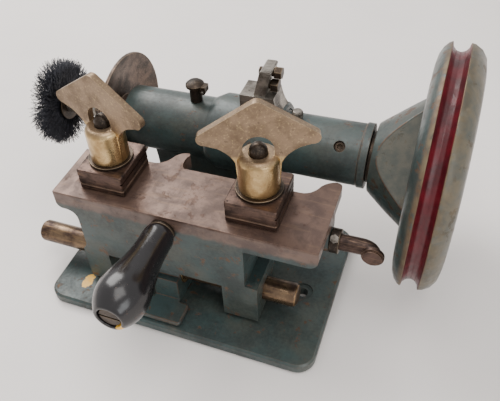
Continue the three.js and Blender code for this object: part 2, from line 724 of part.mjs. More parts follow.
function oilerLid() {
  const cap = turned(
    'z',
    [
      [lidFoot, 0],
      [lidFoot, LID_RADIUS],
      [lidFoot + LID_HEIGHT * 0.45, LID_RADIUS],
      [lidFoot + LID_HEIGHT * 0.85, LID_RADIUS * 0.7],
      [lidFoot + LID_HEIGHT, 0],
    ],
    [OILER_X, spindleY],
    24,
  );
  const cheekIn = LID_LUG_WIDTH / 2 + BORE_GAP;
  const cheekOut = cheekIn + 1.8;
  const cheeks = [-1, 1].flatMap((side) => {
    const y0 = Math.min(side * cheekIn, side * cheekOut) + spindleY;
    const y1 = Math.max(side * cheekIn, side * cheekOut) + spindleY;
    return [
      bar('y', LID_LUG_RADIUS, y0, y1, [pinX, pinZ], 20),
      box(pinX - LID_LUG_RADIUS + 0.4, pinX + LID_LUG_RADIUS, y0, y1, pinZ, lidFoot + 1),
    ];
  });
  const bridge = box(pinX - 2, pinX + LID_LUG_RADIUS, spindleY - 3.6, spindleY + 3.6, lidFoot, lidFoot + 1.6);
  return cut(
    joined(cap, ...cheeks, bridge),
    bar('y', LID_PIN_RADIUS + BORE_GAP, spindleY - 6, spindleY + 6, [pinX, pinZ], 16),
  );
}
place('oiler_lid', oilerLid(), darkSteel());

const pinFront = spindleY - LID_PIN_LENGTH / 2;
const pinBack = spindleY + LID_PIN_LENGTH / 2;
place('oiler_lid_pin', bar('y', LID_PIN_RADIUS, pinFront, pinBack, [pinX, pinZ], 14), brightSteel());

// Bracket on the ring's crown, with an upright ear and its two bolts.

const bracketFoot = ringCrown - BRACKET_SINK;
const bracketTop = ringCrown + BRACKET_HEIGHT;
const earTop = bracketTop + EAR_HEIGHT;
const earRight = EAR_LEFT + EAR_THICKNESS;
const earBolts = [
  { rise: EAR_LOW_BOLT_RISE, headRadius: EAR_BOLT_HEAD_RADIUS },
  { rise: EAR_HIGH_BOLT_RISE, headRadius: EAR_BOLT_HEAD_RADIUS - 0.6 },
];

function bracket() {
  const side = new THREE.Shape();
  side.moveTo(BRACKET_LEFT, bracketFoot);
  side.lineTo(BRACKET_RIGHT + BRACKET_SLOPE, bracketFoot);
  side.quadraticCurveTo(BRACKET_RIGHT + 2, bracketFoot + 6, BRACKET_RIGHT, bracketTop);
  side.lineTo(BRACKET_LEFT, bracketTop);
  const ear = new THREE.Shape();
  ear.moveTo(EAR_LEFT, bracketTop - 1);
  ear.lineTo(earRight, bracketTop - 1);
  ear.lineTo(earRight + EAR_LEAN, earTop - 1);
  ear.lineTo(earRight + EAR_LEAN - 1, earTop);
  ear.lineTo(EAR_LEFT + EAR_LEAN + 1, earTop);
  ear.lineTo(EAR_LEFT + EAR_LEAN, earTop - 1);
  let body = joined(
    upright(side, spindleY - BRACKET_HALF_DEPTH, spindleY + BRACKET_HALF_DEPTH),
    upright(ear, spindleY - EAR_HALF_DEPTH, spindleY + EAR_HALF_DEPTH),
  );
  for (const { rise } of earBolts) {
    const centre = [spindleY, bracketTop + rise];
    const right = earRight + EAR_LEAN + 1;
    body = cut(body, bar('x', EAR_BOLT_RADIUS + BORE_GAP, EAR_LEFT - 1, right, centre, 16));
  }
  return cut(body, bar('x', ringRadius + SEAT_GAP, 0, FOOT_RIGHT, spindleCentre, 44));
}
place('ring_bracket', bracket(), brightSteel());

earBolts.forEach(({ rise, headRadius }, index) => {
  const centre = [spindleY, bracketTop + rise];
  const seat = earRight + (EAR_LEAN * (rise + headRadius)) / EAR_HEIGHT + SEAT_GAP;
  const bolt = joined(
    bar('x', EAR_BOLT_RADIUS, EAR_LEFT + EAR_LEAN / 2, seat + 0.1, centre, 16),
    bar('x', headRadius, seat, seat + EAR_BOLT_HEAD_HEIGHT, centre, 6),
  );
  place(index === 0 ? 'bracket_bolt_low' : 'bracket_bolt_high', bolt, darkSteel());
});

// Spindle and everything that turns with it.

const keySeat = JOURNAL_RADIUS - KEY_HEIGHT / 2;

function spindle() {
  const threadStart = bossFace - 4;
  const tailEnd = BRUSH_SHOULDER_X - TAIL_LENGTH;
  const shaft = turned(
    'x',
    [
      [tailEnd, 0],
      [tailEnd, TAIL_RADIUS - 1],
      [tailEnd + 1, TAIL_RADIUS],
      [BRUSH_SHOULDER_X, TAIL_RADIUS],
      [BRUSH_SHOULDER_X, WHEEL_SEAT_RADIUS],
      [flangeLeft - 1, WHEEL_SEAT_RADIUS],
      [flangeLeft - 1, JOURNAL_RADIUS],
      [threadStart, JOURNAL_RADIUS],
      [threadStart, PULLEY_THREAD_RADIUS],
      [nutFace + THREAD_TAIL - 1, PULLEY_THREAD_RADIUS],
      [nutFace + THREAD_TAIL, PULLEY_THREAD_RADIUS - 1],
      [nutFace + THREAD_TAIL, 0],
    ],
    spindleCentre,
    32,
  );
  const halfKey = KEY_WIDTH / 2 + KEY_GAP;
  const slotFloor = spindleZ + keySeat - KEY_GAP;
  const keyRight = keyLeft + KEY_LENGTH;
  const slot = box(
    keyLeft - KEY_GAP,
    keyRight + KEY_GAP,
    spindleY - halfKey,
    spindleY + halfKey,
    slotFloor,
    spindleZ + 12,
  );
  return cut(shaft, slot);
}
place('spindle', spindle(), brightSteel());

place(
  'pulley_key',
  box(
    keyLeft,
    keyLeft + KEY_LENGTH,
    spindleY - KEY_WIDTH / 2,
    spindleY + KEY_WIDTH / 2,
    spindleZ + keySeat,
    spindleZ + keySeat + KEY_HEIGHT,
  ),
  darkSteel(),
);

function thrustWasher() {
  const from = HOUSING_RIGHT + SEAT_GAP;
  const to = from + THRUST_WASHER_THICKNESS;
  return cut(
    bar('x', THRUST_WASHER_RADIUS, from, to, spindleCentre, 40),
    bar('x', JOURNAL_RADIUS + BORE_GAP, from - 1, to + 1, spindleCentre, 32),
  );
}
place('thrust_washer', thrustWasher(), bronze());

// The tool that cuts one flat on the cone, facing the given direction about the spindle.
function flatTool(direction) {
  const side = new THREE.Shape();
  const slope = (FLAT_RIM_RADIUS - FLAT_NOSE_RADIUS) / PULLEY_CONE_LENGTH;
  const outside = spindleZ + PULLEY_THROAT_RADIUS + 5;
  side.moveTo(pulleyNose - 1, spindleZ + FLAT_NOSE_RADIUS - slope);
  side.lineTo(rimLeft, spindleZ + FLAT_RIM_RADIUS);
  side.lineTo(rimLeft, outside);
  side.lineTo(pulleyNose - 1, outside);
  const reach = PULLEY_THROAT_RADIUS + 5;
  return turnedAbout(upright(side, spindleY - reach, spindleY + reach), spindleCentre, direction - 90);
}

function pulley() {
  const crestLeft = rimLeft + PULLEY_CREST_LEFT;
  const crestRight = crestLeft + GROOVE_WIDTH;
  const grooveMiddle = (crestLeft + crestRight) / 2;
  const groove = [];
  const grooveSteps = 6;
  for (let i = 0; i <= grooveSteps; i += 1) {
    const angle = Math.PI * (1 - i / grooveSteps);
    const x = grooveMiddle + (GROOVE_WIDTH / 2) * Math.cos(angle);
    groove.push([x, PULLEY_RADIUS - GROOVE_DEPTH * Math.sin(angle)]);
  }
  const webFace = rimRight - PULLEY_WEB_RECESS;
  let body = turned(
    'x',
    [
      [pulleyNose, JOURNAL_RADIUS + BORE_GAP],
      [pulleyNose, PULLEY_NOSE_RADIUS - 1],
      [pulleyNose + 1, PULLEY_NOSE_RADIUS],
      [rimLeft, PULLEY_THROAT_RADIUS],
      [rimLeft, PULLEY_RADIUS - 15],
      [rimLeft + 1, PULLEY_RADIUS - 9],
      [rimLeft + 3.2, PULLEY_RADIUS - 4.2],
      [rimLeft + 6, PULLEY_RADIUS - 1.2],
      ...groove,
      [rimRight - 9, PULLEY_RADIUS - 0.6],
      [rimRight - 4.5, PULLEY_RADIUS - 3.4],
      [rimRight - 1.2, PULLEY_RADIUS - 8],
      [rimRight, PULLEY_RADIUS - 13],
      [rimRight, PULLEY_WEB_RADIUS + 3],
      [rimRight - 2, PULLEY_WEB_RADIUS],
      [webFace, PULLEY_WEB_RADIUS - 3],
      [webFace, PULLEY_BOSS_RADIUS + 2],
      [bossFace, PULLEY_BOSS_RADIUS],
      [bossFace, JOURNAL_RADIUS + BORE_GAP],
    ],
    spindleCentre,
    60,
  );
  for (let i = 0; i < FLAT_COUNT; i += 1) {
    body = cut(body, flatTool(FLAT_DIRECTION + (360 / FLAT_COUNT) * i));
  }
  const halfKey = KEY_WIDTH / 2 + KEY_GAP;
  const slotTop = spindleZ + keySeat + KEY_HEIGHT + KEY_GAP;
  const slot = box(pulleyNose - 1, bossFace + 1, spindleY - halfKey, spindleY + halfKey, spindleZ, slotTop);
  return cut(body, slot);
}
place('pulley', pulley(), paint());

function ringPiece(outer, inner, from, to, sides) {
  return cut(
    bar('x', outer, from, to, spindleCentre, sides),
    bar('x', inner, from - 1, to + 1, spindleCentre, 28),
  );
}
const threadHole = PULLEY_THREAD_RADIUS + BORE_GAP;
const washerFoot = bossFace + SEAT_GAP;
place('pulley_washer', ringPiece(PULLEY_WASHER_RADIUS, threadHole, washerFoot, washerFace, 32), darkSteel());
place('pulley_nut', ringPiece(PULLEY_NUT_RADIUS, threadHole, washerFace + SEAT_GAP, nutFace, 6), darkSteel());

// Wheel flange: a dished disc with a flat seat for a grinding wheel, its collar and nut.

function wheelFlange() {
  const seatHole = JOURNAL_RADIUS + BORE_GAP;
  const dishFloor = flangeLeft + 5;
  return turned(
    'x',
    [
      [flangeRight, seatHole],
      [flangeRight, FLANGE_HUB_RADIUS - 1],
      [flangeRight - 1, FLANGE_HUB_RADIUS],
      [dishFloor + FLANGE_WALL, FLANGE_HUB_RADIUS + 2],
      [dishFloor + FLANGE_WALL, FLANGE_SEAT_RADIUS],
      [dishFloor + FLANGE_WALL + 2.5, (FLANGE_SEAT_RADIUS + FLANGE_RADIUS) / 2],
      [flangeRim, FLANGE_RADIUS - 1.5],
      [flangeRim, FLANGE_RADIUS],
      [flangeRim - FLANGE_WALL, FLANGE_RADIUS],
      [dishFloor + 2.5, (FLANGE_SEAT_RADIUS + FLANGE_RADIUS) / 2],
      [flangeLeft, FLANGE_SEAT_RADIUS],
      [flangeLeft, seatHole],
    ],
    spindleCentre,
    52,
  );
}
place('wheel_flange', wheelFlange(), wornIron());

const wheelHole = WHEEL_SEAT_RADIUS + BORE_GAP;
const collarRight = flangeLeft - 1 - SEAT_GAP;
const collarLeft = collarRight - WHEEL_COLLAR_LENGTH;
const wheelNutRight = collarLeft - SEAT_GAP;
place('wheel_collar', ringPiece(WHEEL_COLLAR_RADIUS, wheelHole, collarLeft, collarRight, 40), wornIron());
place(
  'wheel_nut',
  ringPiece(WHEEL_NUT_RADIUS, wheelHole, wheelNutRight - WHEEL_NUT_LENGTH, wheelNutRight, 6),
  darkSteel(),
);

// Round brush on the spindle's tail.

const coreRight = BRUSH_SHOULDER_X - SEAT_GAP;
const coreLeft = coreRight - BRUSH_CORE_LENGTH;

function brushCore() {
  const hole = TAIL_RADIUS + BORE_GAP;
  return turned(
    'x',
    [
      [coreLeft, hole],
      [coreLeft, BRUSH_CHEEK_RADIUS],
      [coreLeft + BRUSH_CHEEK, BRUSH_CHEEK_RADIUS],
      [coreLeft + BRUSH_CHEEK, BRUSH_CORE_RADIUS],
      [coreRight - BRUSH_CHEEK, BRUSH_CORE_RADIUS],
      [coreRight - BRUSH_CHEEK, BRUSH_CHEEK_RADIUS],
      [coreRight, BRUSH_CHEEK_RADIUS],
      [coreRight, hole],
    ],
    spindleCentre,
    32,
  );
}
place('brush_core', brushCore(), darkSteel());

function brushTufts() {
  const left = coreLeft + BRUSH_CHEEK + SEAT_GAP;
  const right = coreRight - BRUSH_CHEEK - SEAT_GAP;
  return turned(
    'x',
    [
      [left, BRUSH_CORE_RADIUS + SEAT_GAP],
      [left, BRUSH_RADIUS - 2],
      [left + 2, BRUSH_RADIUS],
      [right - 2, BRUSH_RADIUS],
      [right, BRUSH_RADIUS - 2],
      [right, BRUSH_CORE_RADIUS + SEAT_GAP],
    ],
    spindleCentre,
    48,
  );
}
place('brush_bristles', brushTufts(), bristle());

const tailHole = TAIL_RADIUS + BORE_GAP;
const brushNutRight = coreLeft - SEAT_GAP;
place(
  'brush_nut',
  ringPiece(BRUSH_NUT_RADIUS, tailHole, brushNutRight - BRUSH_NUT_LENGTH, brushNutRight, 6),
  darkSteel(),
);

// Guide rod: slides in the pedestal's bush and carries the table.

function guideRod() {
  const right = ROD_LEFT + ROD_LENGTH;
  return turned(
    'x',
    [
      [ROD_LEFT, 0],
      [ROD_LEFT, ROD_RADIUS - ROD_ROUNDING],
      [ROD_LEFT + 1, ROD_RADIUS - 1],
      [ROD_LEFT + ROD_ROUNDING, ROD_RADIUS],
      [right - ROD_ROUNDING, ROD_RADIUS],
      [right - 1, ROD_RADIUS - 1],
      [right, ROD_RADIUS - ROD_ROUNDING],
      [right, 0],
    ],
    rodCentre,
    36,
  );
}
place('guide_rod', guideRod(), rodSteel());

// Carriage: the table, its apron, legs, ribs and bar lugs in one casting.

function tableOutline() {
  const shape = new THREE.Shape();
  const hornTip = tableBack + HORN_REACH;
  shape.moveTo(TABLE_LEFT, tableFront);
  shape.lineTo(TABLE_RIGHT, tableFront);
  shape.lineTo(TABLE_RIGHT, hornTip - 4);
  shape.quadraticCurveTo(TABLE_RIGHT - 0.5, hornTip, TABLE_RIGHT - 5, hornTip);
  shape.quadraticCurveTo(TABLE_RIGHT - 11, hornTip - 2, TABLE_RIGHT - 14, hornTip - 7);
  shape.quadraticCurveTo(TABLE_RIGHT - 18, tableBack, TABLE_RIGHT - 26, tableBack);
  shape.lineTo(-9, tableBack);
  shape.lineTo(-11, tableBack + 2.5);
  shape.quadraticCurveTo(-13.5, tableBack + 9, -10.5, hornTip - 2);
  shape.quadraticCurveTo(-10.8, hornTip, -13, hornTip);
  shape.quadraticCurveTo(-18, hornTip - 1, -21, hornTip - 5.5);
  shape.quadraticCurveTo(-25, tableBack + 1, -33, tableBack);
  shape.lineTo(TABLE_LEFT, tableBack);
  return shape;
}

function tableEndProfile() {
  const shape = new THREE.Shape();
  const left = TABLE_END_ROUND_LEFT;
  const right = TABLE_END_ROUND_RIGHT;
  shape.moveTo(TABLE_LEFT, tableTop + 1);
  shape.lineTo(TABLE_LEFT, tableUnder + left);
  shape.absarc(TABLE_LEFT + left, tableUnder + left, left, Math.PI, 1.5 * Math.PI, false);
  shape.lineTo(TABLE_RIGHT - right, tableUnder);
  shape.absarc(TABLE_RIGHT - right, tableUnder + right, right, 1.5 * Math.PI, 2 * Math.PI, false);
  shape.lineTo(TABLE_RIGHT, tableTop + 1);
  return shape;
}

function apronOutline() {
  const shape = new THREE.Shape();
  const top = tableUnder + 1;
  const legFoot = rodZ - LEG_LOW;
  const legTop = rodZ + LEG_HIGH;
  const edge = rodZ + APRON_LOW;
  const undercut = UNDERCUT_RADIUS;
  shape.moveTo(LEFT_LEG.wall - undercut, top);
  shape.lineTo(LEFT_LEG.wall - undercut, tableUnder);
  shape.quadraticCurveTo(LEFT_LEG.wall, tableUnder, LEFT_LEG.wall, tableUnder - undercut);
  shape.lineTo(LEFT_LEG.wall, legTop + 6);
  shape.quadraticCurveTo(LEFT_LEG.wall, legTop, LEFT_LEG.outer, legTop - 4);
  shape.lineTo(LEFT_LEG.outer, legFoot);
  shape.lineTo(LEFT_LEG.inner, legFoot);
  shape.lineTo(LEFT_LEG.inner, edge);
  shape.lineTo(RIGHT_LEG.inner, edge);
  shape.lineTo(RIGHT_LEG.inner, legFoot);
  shape.lineTo(RIGHT_LEG.outer, legFoot);
  shape.lineTo(RIGHT_LEG.outer, legTop);
  shape.lineTo(RIGHT_LEG.wall, legTop + 1);
  shape.lineTo(RIGHT_LEG.wall, top);
  return shape;
}

function carriage() {
  const legFoot = rodZ - LEG_LOW;
  const legTop = rodZ + LEG_HIGH;
  const legBack = tableFront + LEG_DEPTH;
  const ribBack = tableFront + RIB_DEPTH;
  const plate = slab(tableOutline(), tableUnder, tableTop, 0);
  const ends = upright(tableEndProfile(), tableFront - 1, tableBack + HORN_REACH + 1);
  const lugLeft = TABLE_RIGHT - END_LUG_LENGTH;
  let body = joined(
    plate.intersect(ends),
    upright(apronOutline(), tableFront, tableFront + WALL_THICKNESS),
    box(LEFT_LEG.outer, LEFT_LEG.inner, tableFront + 1, legBack, legFoot, legTop - 4),
    box(RIGHT_LEG.inner, RIGHT_LEG.outer, tableFront + 1, legBack, legFoot, legTop),
    box(LEFT_LEG.wall, LEFT_LEG.wall + RIB_THICKNESS, tableFront + 1, ribBack, legTop - 6, tableUnder + 1),
    box(RIGHT_LEG.wall - RIB_THICKNESS, RIGHT_LEG.wall, tableFront + 1, ribBack, legTop - 2, tableUnder + 1),
    bar('x', END_LUG_RADIUS, lugLeft, TABLE_RIGHT, barCentre, 28),
    box(lugLeft, TABLE_RIGHT, BAR_Y - END_LUG_RADIUS, BAR_Y + END_LUG_RADIUS, barZ, tableUnder + 9),
  );
  body = cut(
    body,
    bar('x', ROD_RADIUS + BORE_GAP, LEFT_LEG.outer - 1, RIGHT_LEG.outer + 1, rodCentre, 36),
    bar('x', BAR_RADIUS + BORE_GAP, TABLE_LEFT - 1, TABLE_RIGHT + 1, barCentre, 28),
  );
  for (const x of [LEFT_CLAMP_X, RIGHT_CLAMP_X]) {
    const hole = bar('z', STUD_RADIUS + BORE_GAP, tableUnder - 1, tableTop + 1, [x, clampY], 24);
    body = cut(body, hole);
  }
  const studHole = bar(
    'y',
    HANDLE_STUD_RADIUS + BORE_GAP,
    tableFront - 1,
    tableFront + WALL_THICKNESS + 8,
    handleCentre,
    20,
  );
  return cut(body, studHole);
}
place('carriage', carriage(), wornIron());

// Handle: a fixed stud, a grip that turns on it, and the screw that keeps the grip on.

const gripFoot = tableFront - HANDLE_COLLAR_LENGTH - 2 * SEAT_GAP;
const gripEnd = gripFoot - GRIP_LENGTH;

function handleStud() {
  const collarBack = tableFront - SEAT_GAP;
  const studFront = gripEnd + GRIP_RECESS_DEPTH + 8;
  const studBack = tableFront + WALL_THICKNESS + 6;
  return joined(
    bar('y', HANDLE_STUD_RADIUS, studFront, studBack, handleCentre, 20),
    bar('y', HANDLE_COLLAR_RADIUS, collarBack - HANDLE_COLLAR_LENGTH, collarBack, handleCentre, 28),
  );
}
place('handle_stud', handleStud(), darkSteel());

function handleGrip() {
  const bore = HANDLE_STUD_RADIUS + BORE_GAP;
  const at = (distance) => gripFoot - distance;
  return turned(
    'y',
    [
      [at(0), bore],
      [at(0), GRIP_NECK_RADIUS - 0.8],
      [at(1.5), GRIP_NECK_RADIUS],
      [at(14), GRIP_NECK_RADIUS],
      [at(26), GRIP_NECK_RADIUS + 0.8],
      [at(38), (GRIP_NECK_RADIUS + GRIP_RADIUS) / 2],
      [at(48), GRIP_RADIUS - 1],
      [at(56), GRIP_RADIUS],
      [at(63), GRIP_RADIUS - 0.8],
      [at(70), GRIP_RADIUS - 3.6],
      [at(GRIP_LENGTH - 1), GRIP_END_RADIUS + 1],
      [at(GRIP_LENGTH), GRIP_END_RADIUS],
      [at(GRIP_LENGTH), GRIP_RECESS_RADIUS],
      [at(GRIP_LENGTH - GRIP_RECESS_DEPTH), GRIP_RECESS_RADIUS],
      [at(GRIP_LENGTH - GRIP_RECESS_DEPTH), bore],
    ],
    handleCentre,
    36,
  );
}
place('handle_grip', handleGrip(), handleBlack());

function handleScrew() {
  const seat = gripEnd + GRIP_RECESS_DEPTH - SEAT_GAP;
  const head = bar('y', HANDLE_SCREW_RADIUS, seat - 2.6, seat, handleCentre, 28);
  const shankBack = gripEnd + GRIP_RECESS_DEPTH + 7.5;
  const shank = bar('y', HANDLE_STUD_RADIUS - 1, seat - 0.1, shankBack, handleCentre, 18);
  const slotFloor = seat - 1.3;
  const slot = box(HANDLE_X - 8, HANDLE_X + 8, seat - 4, slotFloor, handleZ - 0.7, handleZ + 0.7);
  return cut(joined(head, shank), slot);
}
place('handle_screw', handleScrew(), darkSteel());

// Bar: turned by its round head, its cam length rests on the stop screw.

function elbow() {
  const section = new THREE.Shape();
  section.absarc(0, 0, BAR_RADIUS, 0, 2 * Math.PI, false);
  const bend = new THREE.QuadraticBezierCurve3(
    new THREE.Vector3(BAR_HEAD_X - ELBOW_RADIUS, BAR_Y, barZ),
    new THREE.Vector3(BAR_HEAD_X, BAR_Y, barZ),
    new THREE.Vector3(BAR_HEAD_X, BAR_Y - ELBOW_RADIUS + 1, barZ),
  );
  return solid(new THREE.ExtrudeGeometry(section, { steps: 8, curveSegments: 14, extrudePath: bend }));
}

function feedBar() {
  const headFront = BAR_Y - BAR_HEAD_FRONT;
  const headBack = headFront + BAR_HEAD_LENGTH;
  const headCentre = [BAR_HEAD_X, barZ];
  return joined(
    bar('x', BAR_RADIUS, BAR_LEFT, CAM_LEFT, barCentre, 28),
    bar('x', CAM_RADIUS, CAM_LEFT - 1, CAM_RIGHT + 1, [BAR_Y, barZ - CAM_THROW], 24),
    bar('x', BAR_RADIUS, CAM_RIGHT, BAR_HEAD_X - ELBOW_RADIUS + 0.5, barCentre, 28),
    elbow(),
    bar('y', BAR_HEAD_RADIUS, headFront + 1.2, headBack - 1.2, headCentre, 32),
    bar('y', BAR_HEAD_RADIUS - 1.2, headFront, headBack, headCentre, 32),
  );
}
place('feed_bar', feedBar(), jawSteel());

const collarFrom = TABLE_RIGHT + SEAT_GAP;
const collarMiddle = collarFrom + COLLAR_LENGTH / 2;

function barCollar() {
  const to = collarFrom + COLLAR_LENGTH;
  const screwHole = bar('z', COLLAR_SCREW_RADIUS + BORE_GAP, barZ, barZ + 20, [collarMiddle, BAR_Y], 14);
  return cut(
    bar('x', COLLAR_RADIUS, collarFrom, to, barCentre, 32),
    bar('x', BAR_RADIUS + BORE_GAP, collarFrom - 1, to + 1, barCentre, 28),
    turnedAbout(screwHole, barCentre, COLLAR_SCREW_TURN),
  );
}
place('bar_collar', barCollar(), darkSteel());

function collarScrew() {
  const seat = barZ + COLLAR_RADIUS + SEAT_GAP;
  const spot = [collarMiddle, BAR_Y];
  const screw = joined(
    bar('z', COLLAR_SCREW_RADIUS, barZ + BAR_RADIUS + SEAT_GAP, seat + 0.1, spot, 14),
    bar('z', COLLAR_SCREW_HEAD_RADIUS, seat, seat + COLLAR_SCREW_HEAD_HEIGHT, spot, 6),
  );
  return turnedAbout(screw, barCentre, COLLAR_SCREW_TURN);
}
place('collar_screw', collarScrew(), brightSteel());

// Two blade clamps: stud, pad, block, washer and wing nut.

function jawPlate(x, from, to, grooved) {
  const outline = roundedRectangle(
    x - JAW_WIDTH / 2,
    x + JAW_WIDTH / 2,
    clampY - JAW_DEPTH / 2,
    clampY + JAW_DEPTH / 2,
    1.5,
  );
  let body = slab(outline, from, to, 0.6);
  if (grooved) {
    const middle = (from + to) / 2;
    for (const side of [-1, 1]) {
      const edge = x + (side * JAW_WIDTH) / 2;
      const groove = box(
        edge - JAW_GROOVE,
        edge + JAW_GROOVE,
        clampY - JAW_DEPTH,
        clampY + JAW_DEPTH,
        middle - JAW_GROOVE / 2,
        middle + JAW_GROOVE / 2,
      );
      body = cut(body, groove);
    }
  }
  return cut(body, bar('z', STUD_RADIUS + BORE_GAP, from - 1, to + 1, [x, clampY], 24));
}

function clampStud(x) {
  const top = tableTop + STUD_RISE;
  return turned(
    'z',
    [
      [tableTop - STUD_SOCKET, 0],
      [tableTop - STUD_SOCKET, STUD_RADIUS - 1],
      [tableTop - STUD_SOCKET + 1, STUD_RADIUS],
      [top - 5, STUD_RADIUS],
      [top - 3, STUD_RADIUS - 0.7],
      [top - 1.4, STUD_RADIUS - 2],
      [top - 0.4, STUD_RADIUS - 3.8],
      [top, 0],
    ],
    [x, clampY],
    20,
  );
}

function wingOutline() {
  const shape = new THREE.Shape();
  const tipZ = hubFoot + WING_TIP_RISE;
  const apexZ = hubFoot + WING_APEX_RISE;
  const neckZ = hubFoot + NUT_HUB_HEIGHT - 6;
  const footZ = hubFoot + 1;
  const tipX = WING_HALF_SPAN - WING_TIP_ROUND;
  shape.moveTo(-WING_NECK + 1, footZ);
  shape.lineTo(WING_NECK - 1, footZ);
  shape.lineTo(WING_NECK, neckZ);
  shape.quadraticCurveTo(WING_NECK + 2.5, tipZ - 12, tipX - 8, tipZ - WING_TIP_ROUND - 2.5);
  shape.lineTo(tipX - 1, tipZ - WING_TIP_ROUND);
  shape.absarc(tipX, tipZ, WING_TIP_ROUND, -Math.PI / 2, Math.PI / 3, false);
  shape.lineTo(3, apexZ - 1);
  shape.quadraticCurveTo(0, apexZ + 0.6, -3, apexZ - 1);
  shape.absarc(-tipX, tipZ, WING_TIP_ROUND, (Math.PI * 2) / 3, 1.5 * Math.PI, false);
  shape.lineTo(-tipX + 8, tipZ - WING_TIP_ROUND - 2.5);
  shape.quadraticCurveTo(-WING_NECK - 2.5, tipZ - 12, -WING_NECK, neckZ);
  return shape;
}

function quarterRound(radius, top, round) {
  const steps = 5;
  return Array.from({ length: steps + 1 }, (_, i) => {
    const angle = (Math.PI / 2) * (i / steps);
    return [top - round + round * Math.sin(angle), radius - round + round * Math.cos(angle)];
  });
}

function wingNut(x, turn) {
  const hubTop = hubFoot + NUT_HUB_HEIGHT;
  const hub = turned(
    'z',
    [
      [hubFoot, 0],
      [hubFoot, NUT_HUB_RADIUS],
      ...quarterRound(NUT_HUB_RADIUS, hubTop, NUT_HUB_ROUND),
      [hubTop, 0],
    ],
    [0, 0],
    32,
  );
  const wing = upright(wingOutline(), -WING_THICKNESS / 2, WING_THICKNESS / 2);
  const holeCentre = hubFoot + WING_HOLE_RISE;
  const reach = NUT_HUB_RADIUS + 5;
  const arch = joined(
    bar('y', WING_HOLE_RADIUS, -reach, reach, [0, holeCentre], 28),
    box(-WING_HOLE_RADIUS, WING_HOLE_RADIUS, -reach, reach, hubFoot, holeCentre),
  );
  const aboveHub = box(-reach, reach, -reach - 1, reach + 1, hubTop, holeCentre + 2 * WING_HOLE_RADIUS);
  const nut = cut(
    joined(hub, wing),
    arch.intersect(aboveHub),
    bar('z', STUD_RADIUS + BORE_GAP, hubFoot - 1, hubTop + 1, [0, 0], 24),
  );
  return nut.rotate([0, 0, turn]).translate([x, clampY, 0]);
}

const clamps = [
  { side: 'left', x: LEFT_CLAMP_X, turn: LEFT_WING_TURN },
  { side: 'right', x: RIGHT_CLAMP_X, turn: RIGHT_WING_TURN },
];
for (const { side, x, turn } of clamps) {
  const padFoot = tableTop + SEAT_GAP;
  const padTop = padFoot + PAD_THICKNESS;
  place(`clamp_stud_${side}`, clampStud(x), darkSteel());
  place(`jaw_pad_${side}`, jawPlate(x, padFoot, padTop, false), jawSteel());
  place(`jaw_block_${side}`, jawPlate(x, padTop + SEAT_GAP, jawTop, true), jawSteel());
  const washer = cut(
    bar('z', JAW_WASHER_RADIUS, jawTop + SEAT_GAP, washerTop, [x, clampY], 36),
    bar('z', STUD_RADIUS + BORE_GAP, jawTop - 1, washerTop + 1, [x, clampY], 24),
  );
  place(`jaw_washer_${side}`, washer, darkSteel());
  place(`wing_nut_${side}`, wingNut(x, turn), bronze());
}

export default sharpener;
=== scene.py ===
import json
import math
import random

import bmesh
import bpy
from mathutils import Matrix, Vector


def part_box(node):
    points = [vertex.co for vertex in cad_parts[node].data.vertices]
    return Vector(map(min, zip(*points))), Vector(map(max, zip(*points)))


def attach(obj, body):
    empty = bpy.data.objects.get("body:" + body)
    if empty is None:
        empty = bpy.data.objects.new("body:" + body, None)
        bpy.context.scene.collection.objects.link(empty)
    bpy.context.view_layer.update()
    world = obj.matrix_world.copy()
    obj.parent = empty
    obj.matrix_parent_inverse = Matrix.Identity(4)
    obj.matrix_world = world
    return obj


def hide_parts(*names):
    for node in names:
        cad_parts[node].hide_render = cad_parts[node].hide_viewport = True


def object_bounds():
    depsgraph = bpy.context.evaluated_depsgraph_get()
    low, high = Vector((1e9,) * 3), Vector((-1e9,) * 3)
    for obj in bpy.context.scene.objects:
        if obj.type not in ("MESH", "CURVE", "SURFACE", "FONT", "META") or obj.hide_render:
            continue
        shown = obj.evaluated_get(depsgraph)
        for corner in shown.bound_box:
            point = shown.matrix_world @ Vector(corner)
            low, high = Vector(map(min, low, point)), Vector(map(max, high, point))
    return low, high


bl_info = {
    "name": "Bench skate sharpener",
    "version": (1, 0, 0),
    "blender": (4, 5, 0),
    "location": "View3D > Sidebar > Sharpener",
    "description": "Gives the packed frame of a bench skate sharpener its worn finishes and fine detail",
    "category": "Object",
}

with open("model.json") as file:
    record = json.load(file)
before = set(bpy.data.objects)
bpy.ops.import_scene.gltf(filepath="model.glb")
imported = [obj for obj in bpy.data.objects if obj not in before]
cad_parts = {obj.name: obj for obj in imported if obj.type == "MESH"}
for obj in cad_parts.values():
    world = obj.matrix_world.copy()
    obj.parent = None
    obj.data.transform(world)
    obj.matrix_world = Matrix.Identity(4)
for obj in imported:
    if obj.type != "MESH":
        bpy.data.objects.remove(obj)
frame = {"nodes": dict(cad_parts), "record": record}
CAD_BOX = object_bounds()
BODY_OF = {node: body for body, nodes in frame["record"]["behaviour"]["bodies"].items() for node in nodes}

EDGE = "worn_edge"  # face attribute that marks rounded edges
SLIVER = 0.00024  # shorter edges of the CAD meshes are merged away


def middle(node):
    """The middle of a CAD node's box."""
    low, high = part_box(node)
    return (low + high) / 2


SPINDLE = middle("spindle_housing")
PULLEY_LOW, PULLEY_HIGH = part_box("pulley")
TABLE_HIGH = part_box("carriage")[1]


# ---------------------------------------------------------------- sizes and colours


